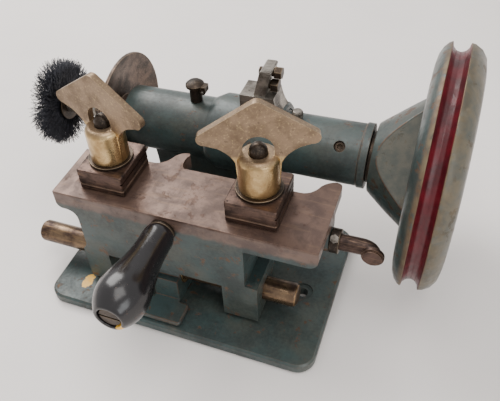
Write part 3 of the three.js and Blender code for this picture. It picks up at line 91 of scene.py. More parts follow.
class SharpenerSizes(bpy.types.PropertyGroup):
    """Sizes of the fine detail."""

    casting_edge: bpy.props.FloatProperty(
        name="Casting edge",
        description="Rounding of the edges of the castings",
        default=0.0011,
        min=0.0002,
        max=0.003,
        unit="LENGTH",
    )
    machined_edge: bpy.props.FloatProperty(
        name="Machined edge",
        description="Rounding of the edges of turned and milled pieces",
        default=0.0005,
        min=0.0001,
        max=0.0015,
        unit="LENGTH",
    )
    bristle_count: bpy.props.IntProperty(
        name="Bristles",
        description="Number of bristles in the brush",
        default=2600,
        min=200,
        max=5000,
    )
    bristle_thickness: bpy.props.FloatProperty(
        name="Bristle thickness",
        description="Radius of one bristle",
        default=0.00032,
        min=0.0001,
        max=0.001,
        unit="LENGTH",
    )
    knurl_count: bpy.props.IntProperty(
        name="Knurls",
        description="Number of ridges around the oil plug",
        default=22,
        min=8,
        max=60,
    )
    grip_steps: bpy.props.IntProperty(
        name="Grip steps",
        description="Number of faces around the handle grip",
        default=72,
        min=24,
        max=160,
    )


def colour(name, description, value):
    """A colour property in linear light."""
    return bpy.props.FloatVectorProperty(
        name=name, description=description, subtype="COLOR", size=3, min=0, max=1, default=value
    )


class SharpenerColours(bpy.types.PropertyGroup):
    """Colours of the finishes."""

    enamel: colour("Enamel", "Old blue-green enamel on the castings", (0.036, 0.060, 0.059))
    enamel_dark: colour("Grimy enamel", "Enamel under oil and dust", (0.014, 0.021, 0.020))
    enamel_warm: colour("Yellowed enamel", "Enamel that has gone brown with age", (0.075, 0.070, 0.052))
    iron: colour("Bare iron", "Iron where the enamel is gone", (0.105, 0.062, 0.036))
    table: colour("Table top", "Brown patina of the worn table", (0.128, 0.080, 0.062))
    table_dark: colour("Table stain", "Darker stains on the table", (0.075, 0.047, 0.038))
    edge: colour("Rubbed edge", "Metal of edges rubbed bare", (0.30, 0.19, 0.12))
    jaw: colour("Jaw steel", "Browned steel of the clamp jaws", (0.115, 0.074, 0.060))
    dark_steel: colour("Dark steel", "Oiled steel of bolts and nuts", (0.055, 0.040, 0.030))
    bright_steel: colour("Bright steel", "Steel that is handled or newly cut", (0.34, 0.31, 0.27))
    rod: colour("Rod steel", "Browned steel of the guide rod", (0.185, 0.125, 0.078))
    brass: colour("Brass", "Polished brass of the wing nut hubs", (0.56, 0.40, 0.20))
    wing: colour("Wing bronze", "Dull bronze of the wing plates", (0.265, 0.185, 0.120))
    groove: colour("Groove paint", "Dark red paint in the belt groove", (0.115, 0.006, 0.012))
    handle: colour("Handle", "Black gloss of the grip", (0.007, 0.006, 0.007))
    splash: colour("Paint splash", "Yellow paint spilt on base and grip", (0.75, 0.42, 0.06))
    bristle: colour("Bristles", "Dark blue-grey of the bristles", (0.022, 0.023, 0.031))
    floor: colour("Floor", "Pale plain floor", (0.80, 0.76, 0.735))


def sizes():
    return bpy.context.scene.sharpener_sizes


def colours():
    return bpy.context.scene.sharpener_colours


# ---------------------------------------------------------------- shader expressions


class Wire:
    """A number on a socket, for use in Python expressions."""

    def __init__(self, finish, socket):
        self.finish = finish
        self.socket = socket

    def maths(self, operation, *terms, clamp=False):
        values = {i: t for i, t in enumerate(terms)}
        settings = {"operation": operation, "use_clamp": clamp}
        return self.finish.node("ShaderNodeMath", settings, values)

    def __add__(self, other):
        return self.maths("ADD", self, other)

    def __radd__(self, other):
        return self.maths("ADD", other, self)

    def __sub__(self, other):
        return self.maths("SUBTRACT", self, other)

    def __rsub__(self, other):
        return self.maths("SUBTRACT", other, self)

    def __mul__(self, other):
        return self.maths("MULTIPLY", self, other)

    def __rmul__(self, other):
        return self.maths("MULTIPLY", other, self)

    def __pow__(self, other):
        return self.maths("POWER", self, other)

    def most(self, other):
        return self.maths("MAXIMUM", self, other)

    def step(self, low, high):
        """0 below low, 1 above high and smooth between them."""
        settings = {"interpolation_type": "SMOOTHSTEP", "clamp": True}
        values = {"Value": self, "From Min": low, "From Max": high}
        return self.finish.node("ShaderNodeMapRange", settings, values)


class Finish:
    """A material that is wired up by expressions."""

    def __init__(self, name):
        self.material = bpy.data.materials.new(name)
        self.material.use_nodes = True
        self.tree = self.material.node_tree
        self.tree.nodes.clear()
        self.shader = self.tree.nodes.new("ShaderNodeBsdfPrincipled")
        output = self.tree.nodes.new("ShaderNodeOutputMaterial")
        self.tree.links.new(self.shader.outputs[0], output.inputs[0])
        self.place = self.node("ShaderNodeTexCoord", {}, {}, "Object")
        parts = self.node("ShaderNodeSeparateXYZ", {}, {0: self.place}, None)
        self.x, self.y, self.z = (Wire(self, socket) for socket in parts.outputs)

    def node(self, kind, settings, values, output=0):
        """Adds a node, sets it up, feeds its sockets and gives one of its outputs."""
        node = self.tree.nodes.new(kind)
        for name, setting in settings.items():
            if name == "stops":
                stops = node.color_ramp.elements
                for position, shade in setting[2:]:
                    stops.new(position).color = (*shade, 1)
                for stop, (position, shade) in zip(stops, setting[:2]):
                    stop.position, stop.color = position, (*shade, 1)
            else:
                setattr(node, name, setting)
        for name, value in values.items():
            self.feed(node.inputs[name], value)
        return node if output is None else Wire(self, node.outputs[output])

    def feed(self, socket, value):
        if isinstance(value, Wire):
            self.tree.links.new(value.socket, socket)
        elif socket.type == "RGBA" and len(value) == 3:
            socket.default_value = (*value, 1)
        else:
            socket.default_value = value

    def mix(self, mask, first, second):
        """The first colour where the mask is 0 and the second where it is 1."""
        settings = {"data_type": "RGBA", "clamp_factor": True}
        return self.node("ShaderNodeMix", settings, {0: mask, 6: first, 7: second}, 2)

    def noise(self, scale, detail=4.0, roughness=0.55, stretch=(1, 1, 1), warp=0.0):
        """A cloudy pattern with so many features to the metre."""
        where = self.node("ShaderNodeVectorMath", {"operation": "MULTIPLY"}, {0: self.place, 1: stretch})
        values = {"Vector": where, "Scale": scale, "Detail": detail}
        values |= {"Roughness": roughness, "Distortion": warp}
        return self.node("ShaderNodeTexNoise", {}, values)

    def attribute(self, name):
        return self.node("ShaderNodeAttribute", {"attribute_name": name}, {}, "Fac")

    def bump(self, height, distance, strength=1.0):
        values = {"Height": height, "Distance": distance, "Strength": strength}
        self.feed(self.shader.inputs["Normal"], self.node("ShaderNodeBump", {}, values))

    def surface(self, **sockets):
        """Feeds the shader: base_color=..., roughness=..., metallic=... and so on."""
        for name, value in sockets.items():
            self.feed(self.shader.inputs[name.replace("_", " ").title().replace("Ior", "IOR")], value)


FINISHES = {}


def finish(name):
    """The finish of that name, made when it is first asked for."""
    if name not in FINISHES:
        FINISHES[name] = MAKERS[name]().material
    return FINISHES[name]


def enamel_layers(f, bare=0.62):
    """Old enamel: colour, a mask of where it is chipped, and its roughness."""
    c = colours()
    cloud = f.noise(38, 5, 0.6)
    fine = f.noise(420, 3, 0.6)
    patches = f.noise(110, 6, 0.68, warp=0.4)
    grime = (cloud * 0.7 + fine * 0.3).step(0.38, 0.66)
    edges = f.attribute(EDGE)
    specks = f.noise(900, 2, 0.5).step(0.66, 0.72)
    chips = patches.step(bare, bare + 0.035).most(edges * patches.step(0.36, 0.5))
    chips = chips.most(specks * 0.7)
    warm = f.noise(26, 4, 0.6, warp=0.6).step(0.42, 0.68)
    paint = f.mix(warm * 0.55, tuple(c.enamel), tuple(c.enamel_warm))
    paint = f.mix(grime * 0.85, paint, tuple(c.enamel_dark))
    rust = f.mix(fine.step(0.35, 0.7), tuple(c.iron), tuple(c.table_dark))
    return paint, rust, chips, grime, fine, cloud


def make_enamel():
    f = Finish("old_enamel")
    paint, rust, chips, grime, fine, cloud = enamel_layers(f)
    f.surface(
        base_color=f.mix(chips, paint, rust),
        roughness=0.30 + grime * 0.16 + chips * 0.16 + fine * 0.08,
        metallic=chips * 0.45,
    )
    f.shader.inputs["Specular IOR Level"].default_value = 0.6
    f.bump(fine * 0.5 + cloud * 2.0 - chips * 0.35, 0.00035, 0.55)
    return f


def make_base_enamel():
    """The base: rubbed brown borders and a yellow splash."""
    f = Finish("base_enamel")
    c = colours()
    paint, rust, chips, grime, fine, cloud = enamel_layers(f, 0.6)
    spill = ((f.x + 0.0826) ** 2.0 + ((f.y + 0.0512) * 0.55) ** 2.0) ** 0.5
    shape = (spill + f.noise(160, 3) * 0.006).step(0.0072, 0.0066)
    rim = f.attribute(EDGE) * f.noise(70, 5).step(0.30, 0.5)
    skin = f.mix(rim * 0.8, f.mix(chips, paint, rust), (0.135, 0.088, 0.052))
    painted = f.mix(shape * f.z.step(0.008, 0.009), skin, tuple(c.splash))
    f.surface(
        base_color=painted,
        roughness=0.34 + grime * 0.2 + chips * 0.15,
        metallic=chips * 0.4,
    )
    f.bump(fine * 0.5 + cloud * 1.6 - chips * 0.35, 0.00035, 0.6)
    return f


def make_pulley_enamel():
    """The pulley: enamel sides, rubbed crests and a dark red groove."""
    f = Finish("pulley_enamel")
    c = colours()
    paint, rust, chips, grime, fine, cloud = enamel_layers(f, 0.57)
    across = f.y - SPINDLE.y
    up = f.z - SPINDLE.z
    radius = (across * across + up * up) ** 0.5
    nose = PULLEY_LOW.x
    groove_low, groove_high = nose + 0.0362, nose + 0.0483
    outer = PULLEY_HIGH.z - SPINDLE.z
    inside = f.x.step(groove_low, groove_low + 0.0004) * f.x.step(groove_high, groove_high - 0.0004)
    red = inside * radius.step(outer - 0.0095, outer - 0.009) * radius.step(outer - 0.0002, outer - 0.0009)
    crest = radius.step(outer - 0.0032, outer - 0.0004) * f.noise(150, 4).step(0.3, 0.52)
    chips = chips.most(crest)
    gold = f.mix(f.noise(60, 4).step(0.35, 0.65), tuple(c.iron), (0.16, 0.125, 0.075))
    colour_all = f.mix(chips, paint, f.mix(crest, rust, gold))
    rim_right = f.x.step(groove_high, groove_high + 0.0006) * radius.step(outer - 0.022, outer - 0.014)
    tarnish = f.noise(85, 5, 0.6, warp=0.4).step(0.35, 0.65)
    bronzed = f.mix(tarnish, (0.125, 0.100, 0.062), (0.070, 0.070, 0.056))
    colour_all = f.mix(rim_right * 0.85, colour_all, bronzed)
    nose_radius, cone_slope, cone_length = 0.026, 0.7624, 0.028
    cone = nose_radius + (f.x - nose) * cone_slope
    on_cone = f.x.step(nose + cone_length + 0.0008, nose + cone_length)
    flat = (cone - radius).step(0.0006, 0.0016) * on_cone
    # Painted light: the cone's flat facets are painted a paler grey-olive, as they catch the light,
    # mottled by noise.
    painted_facet_light = f.mix(f.noise(120, 5, 0.6).step(0.35, 0.65), (0.105, 0.098, 0.076), (0.060, 0.066, 0.056))
    colour_all = f.mix(flat * 0.85, colour_all, painted_facet_light)
    red_paint = f.mix(f.noise(90, 5).step(0.3, 0.7), tuple(c.groove), (0.045, 0.004, 0.007))
    f.surface(
        base_color=f.mix(red, colour_all, red_paint),
        roughness=0.30 + grime * 0.14 + chips * 0.12,
        metallic=chips * (1 - red) * 0.5,
    )
    f.bump(fine * 0.45 + cloud * 1.6 - chips * 0.3, 0.00035, 0.5)
    return f


def make_table_iron():
    """The carriage: brown polished table above, enamel below, with a rubbed front edge."""
    f = Finish("table_iron")
    c = colours()
    paint, rust, chips, _, fine, cloud = enamel_layers(f, 0.58)
    stains = f.noise(60, 6, 0.62, warp=0.3).step(0.40, 0.64)
    scratches = f.noise(260, 2, 0.5, (0.12, 1.0, 1.0)).step(0.56, 0.64)
    cross_marks = f.noise(300, 2, 0.5, (1.0, 0.1, 1.0)).step(0.60, 0.66)
    bare = f.mix(stains, tuple(c.table), tuple(c.table_dark))
    bare = f.mix(scratches * 0.12 + cross_marks * 0.05, bare, tuple(c.edge))
    level = f.z.step(TABLE_HIGH.z - 0.0024, TABLE_HIGH.z - 0.0012)
    ragged = (f.z + f.noise(130, 4) * 0.006).step(TABLE_HIGH.z - 0.0105, TABLE_HIGH.z - 0.0065)
    rubbed = f.attribute(EDGE) * f.noise(90, 4).step(0.30, 0.5)
    skin = f.mix(chips, paint, rust)
    skin = f.mix(ragged.most(level), skin, bare)
    skin = f.mix(rubbed * 0.8, skin, tuple(c.edge))
    f.surface(
        base_color=skin,
        roughness=0.34 + stains * 0.12 + chips * 0.12 + scratches * 0.06,
        metallic=level * 0.55 + rubbed * 0.3 + chips * 0.2,
    )
    f.bump(fine * 0.35 + cloud * 1.2 - scratches * 0.12 - chips * 0.3, 0.0003, 0.5)
    return f


def metal(name, base, dark, light, rough=0.32, grain=(1, 1, 1), pits=0.64):
    """A worn metal with stains, fine grain, pits and rubbed edges."""
    f = Finish(name)
    cloud = f.noise(75, 5, 0.6, warp=0.3).step(0.34, 0.66)
    lines = f.noise(900, 3, 0.6, grain)
    spots = f.noise(330, 4, 0.6).step(pits, pits + 0.05)
    edges = f.attribute(EDGE)
    skin = f.mix(cloud, base, dark)
    skin = f.mix(lines.step(0.5, 0.75) * 0.35, skin, light)
    skin = f.mix(spots, skin, dark)
    f.surface(
        base_color=f.mix(edges * (1 - cloud * 0.6) * 0.75, skin, light),
        roughness=rough + cloud * 0.14 + spots * 0.2 - edges * 0.05,
        metallic=0.92 - cloud * 0.25 - spots * 0.3,
    )
    f.bump(lines * 0.3 - spots * 0.6 + cloud * 0.3, 0.0002, 0.5)
    return f


def make_jaw_steel():
    c = colours()
    return metal("jaw_steel", tuple(c.jaw), (0.018, 0.010, 0.008), tuple(c.edge), 0.36, (0.1, 1, 1))


def make_dark_steel():
    c = colours()
    return metal("dark_steel", tuple(c.dark_steel), (0.018, 0.013, 0.010), (0.20, 0.15, 0.10), 0.34)


def make_bright_steel():
    c = colours()
    stain, rubbed = (0.06, 0.05, 0.042), (0.55, 0.52, 0.47)
    return metal("bright_steel", tuple(c.bright_steel), stain, rubbed, 0.27, (0.1, 1, 1))


def make_rod_steel():
    c = colours()
    return metal("rod_steel", tuple(c.rod), (0.035, 0.018, 0.014), (0.42, 0.26, 0.12), 0.27, (0.08, 1, 1))


def make_disc_steel():
    return metal("disc_steel", (0.115, 0.078, 0.060), (0.035, 0.026, 0.021), (0.32, 0.24, 0.18), 0.36)


def make_brass():
    c = colours()
    return metal("brass", tuple(c.brass), (0.16, 0.085, 0.035), (0.72, 0.54, 0.28), 0.26, (1, 1, 0.1))


def make_wing_bronze():
    """A wing nut: polished brass hub below, dull bronze plate above."""
    f = Finish("wing_bronze")
    c = colours()
    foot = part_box("wing_nut_right")[0].z
    cloud = f.noise(65, 5, 0.6, warp=0.3).step(0.36, 0.66)
    lines = f.noise(700, 3, 0.6)
    spots = f.noise(300, 4, 0.6).step(0.63, 0.68)
    edges = f.attribute(EDGE)
    plate = f.z.step(foot + 0.0235, foot + 0.0275)
    dark = f.mix(plate, (0.34, 0.215, 0.095), (0.155, 0.105, 0.066))
    # Pale gold for the polish lines and the rounded edges; on the edges it is rubbed brass and also a
    # painted highlight.
    light = (0.78, 0.60, 0.30)
    skin = f.mix(plate, tuple(c.brass), tuple(c.wing))
    skin = f.mix(cloud, skin, dark)
    skin = f.mix(lines.step(0.52, 0.76) * 0.3, skin, light)
    skin = f.mix(spots, skin, dark)
    # The rounded edges are painted pale gold: partly rubbed brass, partly a painted highlight.
    f.surface(
        base_color=f.mix(edges * (1 - cloud * 0.4) * 0.85, skin, light),
        roughness=0.25 + plate * 0.1 + cloud * 0.12 + spots * 0.15,
        metallic=0.95 - plate * 0.2 - spots * 0.3,
    )
    f.bump(lines * 0.35 - spots * 0.5 + f.noise(140, 4) * 1.0, 0.00022, 0.6)
    return f


def make_handle_gloss():
    """Black varnish, rubbed through here and there, with a yellow paint mark at the end."""
    f = Finish("handle_gloss")
    c = colours()
    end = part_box("handle_grip")[0].y
    centre = middle("handle_grip")
    rubbed = f.noise(95, 6, 0.65, warp=0.5).step(0.60, 0.66)
    dust = f.noise(600, 3).step(0.68, 0.74)
    from_mark = ((f.x - centre.x - 0.006) ** 2.0 + (f.z - centre.z + 0.006) ** 2.0) ** 0.5
    mark = from_mark + f.noise(170, 3) * 0.005
    paint = mark.step(0.0062, 0.0056) * f.y.step(end + 0.016, end + 0.012)
    worn = rubbed * f.y.step(end + 0.03, end + 0.005) * 0.8
    skin = f.mix(worn, tuple(c.handle), (0.085, 0.040, 0.022))
    skin = f.mix(dust * 0.06, skin, (0.12, 0.11, 0.10))
    f.surface(
        base_color=f.mix(paint, skin, tuple(c.splash)),
        roughness=0.22 + rubbed * 0.16 + dust * 0.1,
    )
    f.shader.inputs["Coat Weight"].default_value = 0.15
    f.shader.inputs["Coat Roughness"].default_value = 0.2
    f.bump(f.noise(70, 4) * 1.0 + dust * 0.2, 0.0003, 0.4)
    return f


def make_bristle():
    f = Finish("bristle_wire")
    c = colours()
    strand = f.noise(500, 2)
    f.surface(
        base_color=f.mix(strand.step(0.4, 0.7), tuple(c.bristle), (0.045, 0.047, 0.060)),
        roughness=0.48 + strand * 0.2,
    )
    f.bump(f.noise(2500, 2), 0.00008, 0.3)
    return f


def make_floor():
    f = Finish("pale_floor")
    c = colours()
    soft = f.noise(6, 3)
    f.surface(
        base_color=f.mix(soft.step(0.3, 0.8), tuple(c.floor), tuple(v * 0.95 for v in c.floor)),
        roughness=0.62 + f.noise(90, 3) * 0.1,
    )
    return f


MAKERS = {
    "enamel": make_enamel,
    "base_enamel": make_base_enamel,
    "pulley_enamel": make_pulley_enamel,
    "table_iron": make_table_iron,
    "jaw_steel": make_jaw_steel,
    "dark_steel": make_dark_steel,
    "bright_steel": make_bright_steel,
    "rod_steel": make_rod_steel,
    "disc_steel": make_disc_steel,
    "brass": make_brass,
    "wing_bronze": make_wing_bronze,
    "handle_gloss": make_handle_gloss,
    "bristle": make_bristle,
    "floor": make_floor,
}


# ---------------------------------------------------------------- meshes


def add_piece(name, bm, node, finish_name, even=True):
    """Makes the mesh a shown piece that stands for a CAD node and rides with its body."""
    mesh = bpy.data.meshes.new(name)
    for face in bm.faces:
        face.smooth = True
    bm.to_mesh(mesh)
    bm.free()
    mesh.materials.append(finish(finish_name))
    piece = bpy.data.objects.new(name, mesh)
    bpy.context.scene.collection.objects.link(piece)
    if even:
        shading = piece.modifiers.new("Even shading", "WEIGHTED_NORMAL")
        shading.keep_sharp = True
    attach(piece, BODY_OF[node])
    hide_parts(node)
    return piece


def dressed(node, width, finish_name, steps=2, angle=33):
    """A CAD node with its sharp edges rounded, and marked as edges for the finish."""
    bm = bmesh.new()
    bm.from_mesh(frame["nodes"][node].data)
    bmesh.ops.remove_doubles(bm, verts=bm.verts, dist=SLIVER)
    bmesh.ops.dissolve_degenerate(bm, dist=SLIVER / 10, edges=bm.edges)
    bmesh.ops.dissolve_limit(bm, angle_limit=math.radians(1.2), verts=bm.verts, edges=bm.edges)
    limit = math.radians(angle)
    sharp = [e for e in bm.edges if e.is_manifold and e.calc_face_angle(0) > limit]
    layer = bm.loops.layers.float.new(EDGE)
    made = bmesh.ops.bevel(
        bm,
        geom=sharp,
        offset=width,
        offset_type="OFFSET",
        segments=steps,
        profile=0.5,
        affect="EDGES",
        clamp_overlap=True,
    )
    for face in made["faces"]:
        for loop in face.loops:
            loop[layer] = 1.0
    return add_piece(f"{node}_finished", bm, node, finish_name)


def rounded(points, radius, steps=3):
    """A polyline of (station, radius) points with its inner corners rounded."""
    result = [Vector(points[0])]
    for before, corner, after in zip(points, points[1:], points[2:]):
        corner = Vector(corner)
        back, ahead = Vector(before) - corner, Vector(after) - corner
        reach = min(radius, back.length * 0.45, ahead.length * 0.45)
        start, end = corner + back.normalized() * reach, corner + ahead.normalized() * reach
        for i in range(steps + 1):
            t = i / steps
            result.append(start * (1 - t) ** 2 + corner * 2 * t * (1 - t) + end * t * t)
    result.append(Vector(points[-1]))
    return result


def ring_mesh(section, around, steps, ripple=None):
    """A closed turned mesh: a section of (station, radius) points turned about an axis.

    around is a matrix that takes (radius, 0, station) into the frame."""
    bm = bmesh.new()
    rings = []
    for index, (station, radius) in enumerate(section):
        ring = []
        if radius < 1e-7:
            rings.append([bm.verts.new(around @ Vector((0, 0, station)))])
            continue
        for i in range(steps):
            turn = 2 * math.pi * i / steps
            reach = radius + (ripple(index, turn) if ripple else 0)
            point = Vector((reach * math.cos(turn), reach * math.sin(turn), station))
            ring.append(bm.verts.new(around @ point))
        rings.append(ring)
    pairs = list(zip(rings, rings[1:]))
    if len(rings[0]) > 1:
        pairs.append((rings[-1], rings[0]))
    for first, second in pairs:
        for i in range(steps):
            j = (i + 1) % steps
            low_side = [first[i % len(first)], first[j % len(first)]]
            high_side = [second[j % len(second)], second[i % len(second)]]
            unique = list(dict.fromkeys(low_side + high_side))
            if len(unique) > 2:
                bm.faces.new(unique)
    bmesh.ops.recalc_face_normals(bm, faces=bm.faces)
    return bm


def strand(bm, points, radius):
    """Adds a thin three-sided wire along the points, closed at both ends."""
    rings = []
    for i, point in enumerate(points):
        ahead = points[min(i + 1, len(points) - 1)] - points[max(i - 1, 0)]
        side = ahead.orthogonal().normalized()
        other = ahead.normalized().cross(side)
        size = radius * (1 - 0.45 * i / (len(points) - 1))
        ring = []
        for k in range(3):
            turn = 2 * math.pi * k / 3
            ring.append(bm.verts.new(point + (side * math.cos(turn) + other * math.sin(turn)) * size))
        rings.append(ring)
    for first, second in zip(rings, rings[1:]):
        for k in range(3):
            n = (k + 1) % 3
            bm.faces.new((first[k], first[n], second[n], second[k]))
    bm.faces.new(rings[0][::-1])
    bm.faces.new(rings[-1])


# ---------------------------------------------------------------- pieces


class SHARPENER_OT_stand(bpy.types.Operator):
    """Base plate, rod pedestal and standard"""

    bl_idname = "sharpener.stand"
    bl_label = "Base and standard"

    def execute(self, context):
        edge = sizes().casting_edge
        dressed("base_plate", edge, "base_enamel", 3)
        dressed("rod_pedestal", edge * 0.8, "enamel", 2)
        dressed("standard", edge * 1.2, "enamel", 3)
        dressed("rod_bush", sizes().machined_edge * 0.6, "brass", 1)
        return {"FINISHED"}


class SHARPENER_OT_housing(bpy.types.Operator):
    """Spindle housing, its bushes and screws"""

    bl_idname = "sharpener.housing"
    bl_label = "Spindle housing"

    def execute(self, context):
        edge = sizes().machined_edge
        dressed("spindle_housing", edge, "enamel", 2)
        dressed("thrust_washer", edge * 0.6, "dark_steel")
        for node in ("spindle_bush_left", "spindle_bush_right"):
            dressed(node, edge * 0.6, "brass", 1)
        dressed("bush_set_screw", edge * 0.4, "dark_steel", 1)
        self.oil_plug()
        return {"FINISHED"}

    def oil_plug(self):
        """A knurled plug with a plain stem."""
        low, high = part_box("oil_plug")
        centre = (low + high) / 2
        radius = (high.x - low.x) / 2
        seat = high.z - 0.0065
        count = sizes().knurl_count
        section = rounded(
            [
                (low.z, 0),
                (low.z, 0.0019),
                (seat, 0.0019),
                (seat, radius * 0.92),
                (seat + 0.0012, radius),
                (high.z - 0.0012, radius),
                (high.z, radius * 0.8),
                (high.z, 0),
            ],
            0.0004,
        )
        around = Matrix.Translation((centre.x, centre.y, 0))

        def ripple(index, turn):
            station, reach = section[index]
            inside = seat < station < high.z and reach > radius * 0.85
            return -0.00045 * abs(math.sin(turn * count / 2)) if inside else 0

        bm = ring_mesh(section, around, count * 8, ripple)
        add_piece("oil_plug_finished", bm, "oil_plug", "bright_steel")


class SHARPENER_OT_pulley(bpy.types.Operator):
    """Belt pulley with its key, washer and nut"""

    bl_idname = "sharpener.pulley"
    bl_label = "Pulley"

    def execute(self, context):
        edge = sizes().machined_edge
        dressed("pulley", edge * 1.6, "pulley_enamel", 3, 28)
        dressed("pulley_key", edge * 0.5, "dark_steel", 1)
        dressed("pulley_washer", edge * 0.8, "dark_steel")
        dressed("pulley_nut", edge, "dark_steel")
        return {"FINISHED"}


class SHARPENER_OT_wheel_end(bpy.types.Operator):
    """Spindle, wheel flange, collar and nut"""

    bl_idname = "sharpener.wheel_end"
    bl_label = "Wheel end"

    def execute(self, context):
        edge = sizes().machined_edge
        dressed("spindle", edge * 0.7, "bright_steel")
        dressed("wheel_flange", edge, "disc_steel")
        dressed("wheel_collar", edge, "disc_steel")
        dressed("wheel_nut", edge, "dark_steel")
        return {"FINISHED"}


class SHARPENER_OT_brush(bpy.types.Operator):
    """Round brush: core, nut and loose bristles"""

    bl_idname = "sharpener.brush"
    bl_label = "Brush"

    def execute(self, context):
        edge = sizes().machined_edge
        dressed("brush_core", edge * 0.6, "dark_steel")
        dressed("brush_nut", edge, "dark_steel")
        low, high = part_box("brush_bristles")
        centre = (low + high) / 2
        outer = (high.z - low.z) / 2
        inner = 0.0104  # the bristles' roots, inside the core's rim
        half = (high.x - low.x) / 2
        chance = random.Random(7)
        bm = bmesh.new()
        for _ in range(sizes().bristle_count):
            turn = chance.uniform(0, 2 * math.pi)
            start = chance.uniform(-0.8, 0.8) * half
            reach = outer * chance.uniform(0.84, 1.0)
            lean = start * 0.55 + chance.gauss(0, 0.0022)
            lean = max(-half * 1.25, min(half * 1.25, start + lean)) - start
            swing = chance.gauss(0, 0.10)
            curl = chance.gauss(0, 0.07)
            points = []
            for i in range(5):
                t = i / 4
                radius = inner + (reach - inner) * t
                angle = turn + swing * t * t + curl * math.sin(t * 6.0)
                x = centre.x + start + lean * t * t + 0.0006 * math.sin(t * 9 + turn * 5)
                y = centre.y + radius * math.cos(angle)
                z = centre.z + radius * math.sin(angle)
                points.append(Vector((x, y, z)))
            strand(bm, points, sizes().bristle_thickness)
        add_piece("bristles_finished", bm, "brush_bristles", "bristle", even=False)
        return {"FINISHED"}


class SHARPENER_OT_table(bpy.types.Operator):
    """Sliding table with its apron and legs"""

    bl_idname = "sharpener.table"
    bl_label = "Table"

    def execute(self, context):
        dressed("carriage", sizes().casting_edge, "table_iron", 3)
        return {"FINISHED"}


class SHARPENER_OT_rod_and_bar(bpy.types.Operator):
    """Guide rod, cross bar and its collar"""

    bl_idname = "sharpener.rod_and_bar"
    bl_label = "Rod and bar"

    def execute(self, context):
        edge = sizes().machined_edge
        dressed("guide_rod", edge, "rod_steel")
        dressed("feed_bar", edge, "jaw_steel")
        dressed("bar_collar", edge, "dark_steel")
        dressed("collar_screw", edge * 0.6, "bright_steel")
        return {"FINISHED"}


class SHARPENER_OT_clamps(bpy.types.Operator):
    """Two blade clamps with studs, jaws, washers and wing nuts"""

    bl_idname = "sharpener.clamps"
    bl_label = "Clamps"

    def execute(self, context):
        edge = sizes().machined_edge
        for side in ("left", "right"):
            dressed(f"clamp_stud_{side}", edge, "dark_steel")
            dressed(f"jaw_pad_{side}", edge * 0.4, "jaw_steel")
            dressed(f"jaw_block_{side}", edge, "jaw_steel")
            dressed(f"jaw_washer_{side}", edge * 0.8, "dark_steel")
            dressed(f"wing_nut_{side}", edge * 2.2, "wing_bronze", 3)
        return {"FINISHED"}


class SHARPENER_OT_handle(bpy.types.Operator):
    """Turning grip, its stud and its end screw"""

    bl_idname = "sharpener.handle"
    bl_label = "Handle"

    def execute(self, context):
        edge = sizes().machined_edge
        dressed("handle_stud", edge, "dark_steel")
        dressed("handle_screw", edge * 0.6, "dark_steel")
        low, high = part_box("handle_grip")
        centre = (low + high) / 2
        length = high.y - low.y
        bulb = (high.x - low.x) / 2
        neck = bulb - 0.0067
        outline = [
            (0.0, 0.0043),
            (0.0, neck - 0.0014),
            (0.004, neck),
            (0.014, neck),
            (0.026, neck + 0.0008),
            (0.037, neck + 0.0030),
            (0.047, bulb - 0.0014),
            (0.055, bulb),
            (0.063, bulb - 0.0007),
            (0.069, bulb - 0.0032),
            (length - 0.0014, bulb - 0.0063),
            (length, bulb - 0.0076),
            (length, bulb - 0.0096),
            (length - 0.0038, bulb - 0.0098),
            (length - 0.0040, 0.0043),
        ]
        section = rounded(outline, 0.006, 6)
        around = Matrix(((1, 0, 0, centre.x), (0, 0, -1, high.y), (0, 1, 0, centre.z), (0, 0, 0, 1)))
        bm = ring_mesh(section, around, sizes().grip_steps)
        add_piece("handle_grip_finished", bm, "handle_grip", "handle_gloss")
        return {"FINISHED"}


class SHARPENER_OT_oiler(bpy.types.Operator):
    """Oil cup with its hinged lid"""

    bl_idname = "sharpener.oiler"
    bl_label = "Oiler"

    def execute(self, context):
        edge = sizes().machined_edge
        dressed("oiler_body", edge * 0.6, "dark_steel")
        dressed("oiler_lid", edge * 0.7, "dark_steel")
        dressed("oiler_lid_pin", edge * 0.4, "bright_steel")
        return {"FINISHED"}


class SHARPENER_OT_fasteners(bpy.types.Operator):
    """Bracket on the standard and every bolt and screw"""

    bl_idname = "sharpener.fasteners"
    bl_label = "Bracket and bolts"

    def execute(self, context):
        edge = sizes().machined_edge
        dressed("ring_bracket", edge, "bright_steel")
        bolts = ["bracket_bolt_low", "bracket_bolt_high", "stop_screw", "stop_lock_nut"]
        bolts += [f"standard_bolt_{i}" for i in range(1, 5)]
        bolts += [f"pedestal_screw_{i}" for i in range(1, 3)]
        for node in bolts:
            dressed(node, edge, "dark_steel")
        return {"FINISHED"}


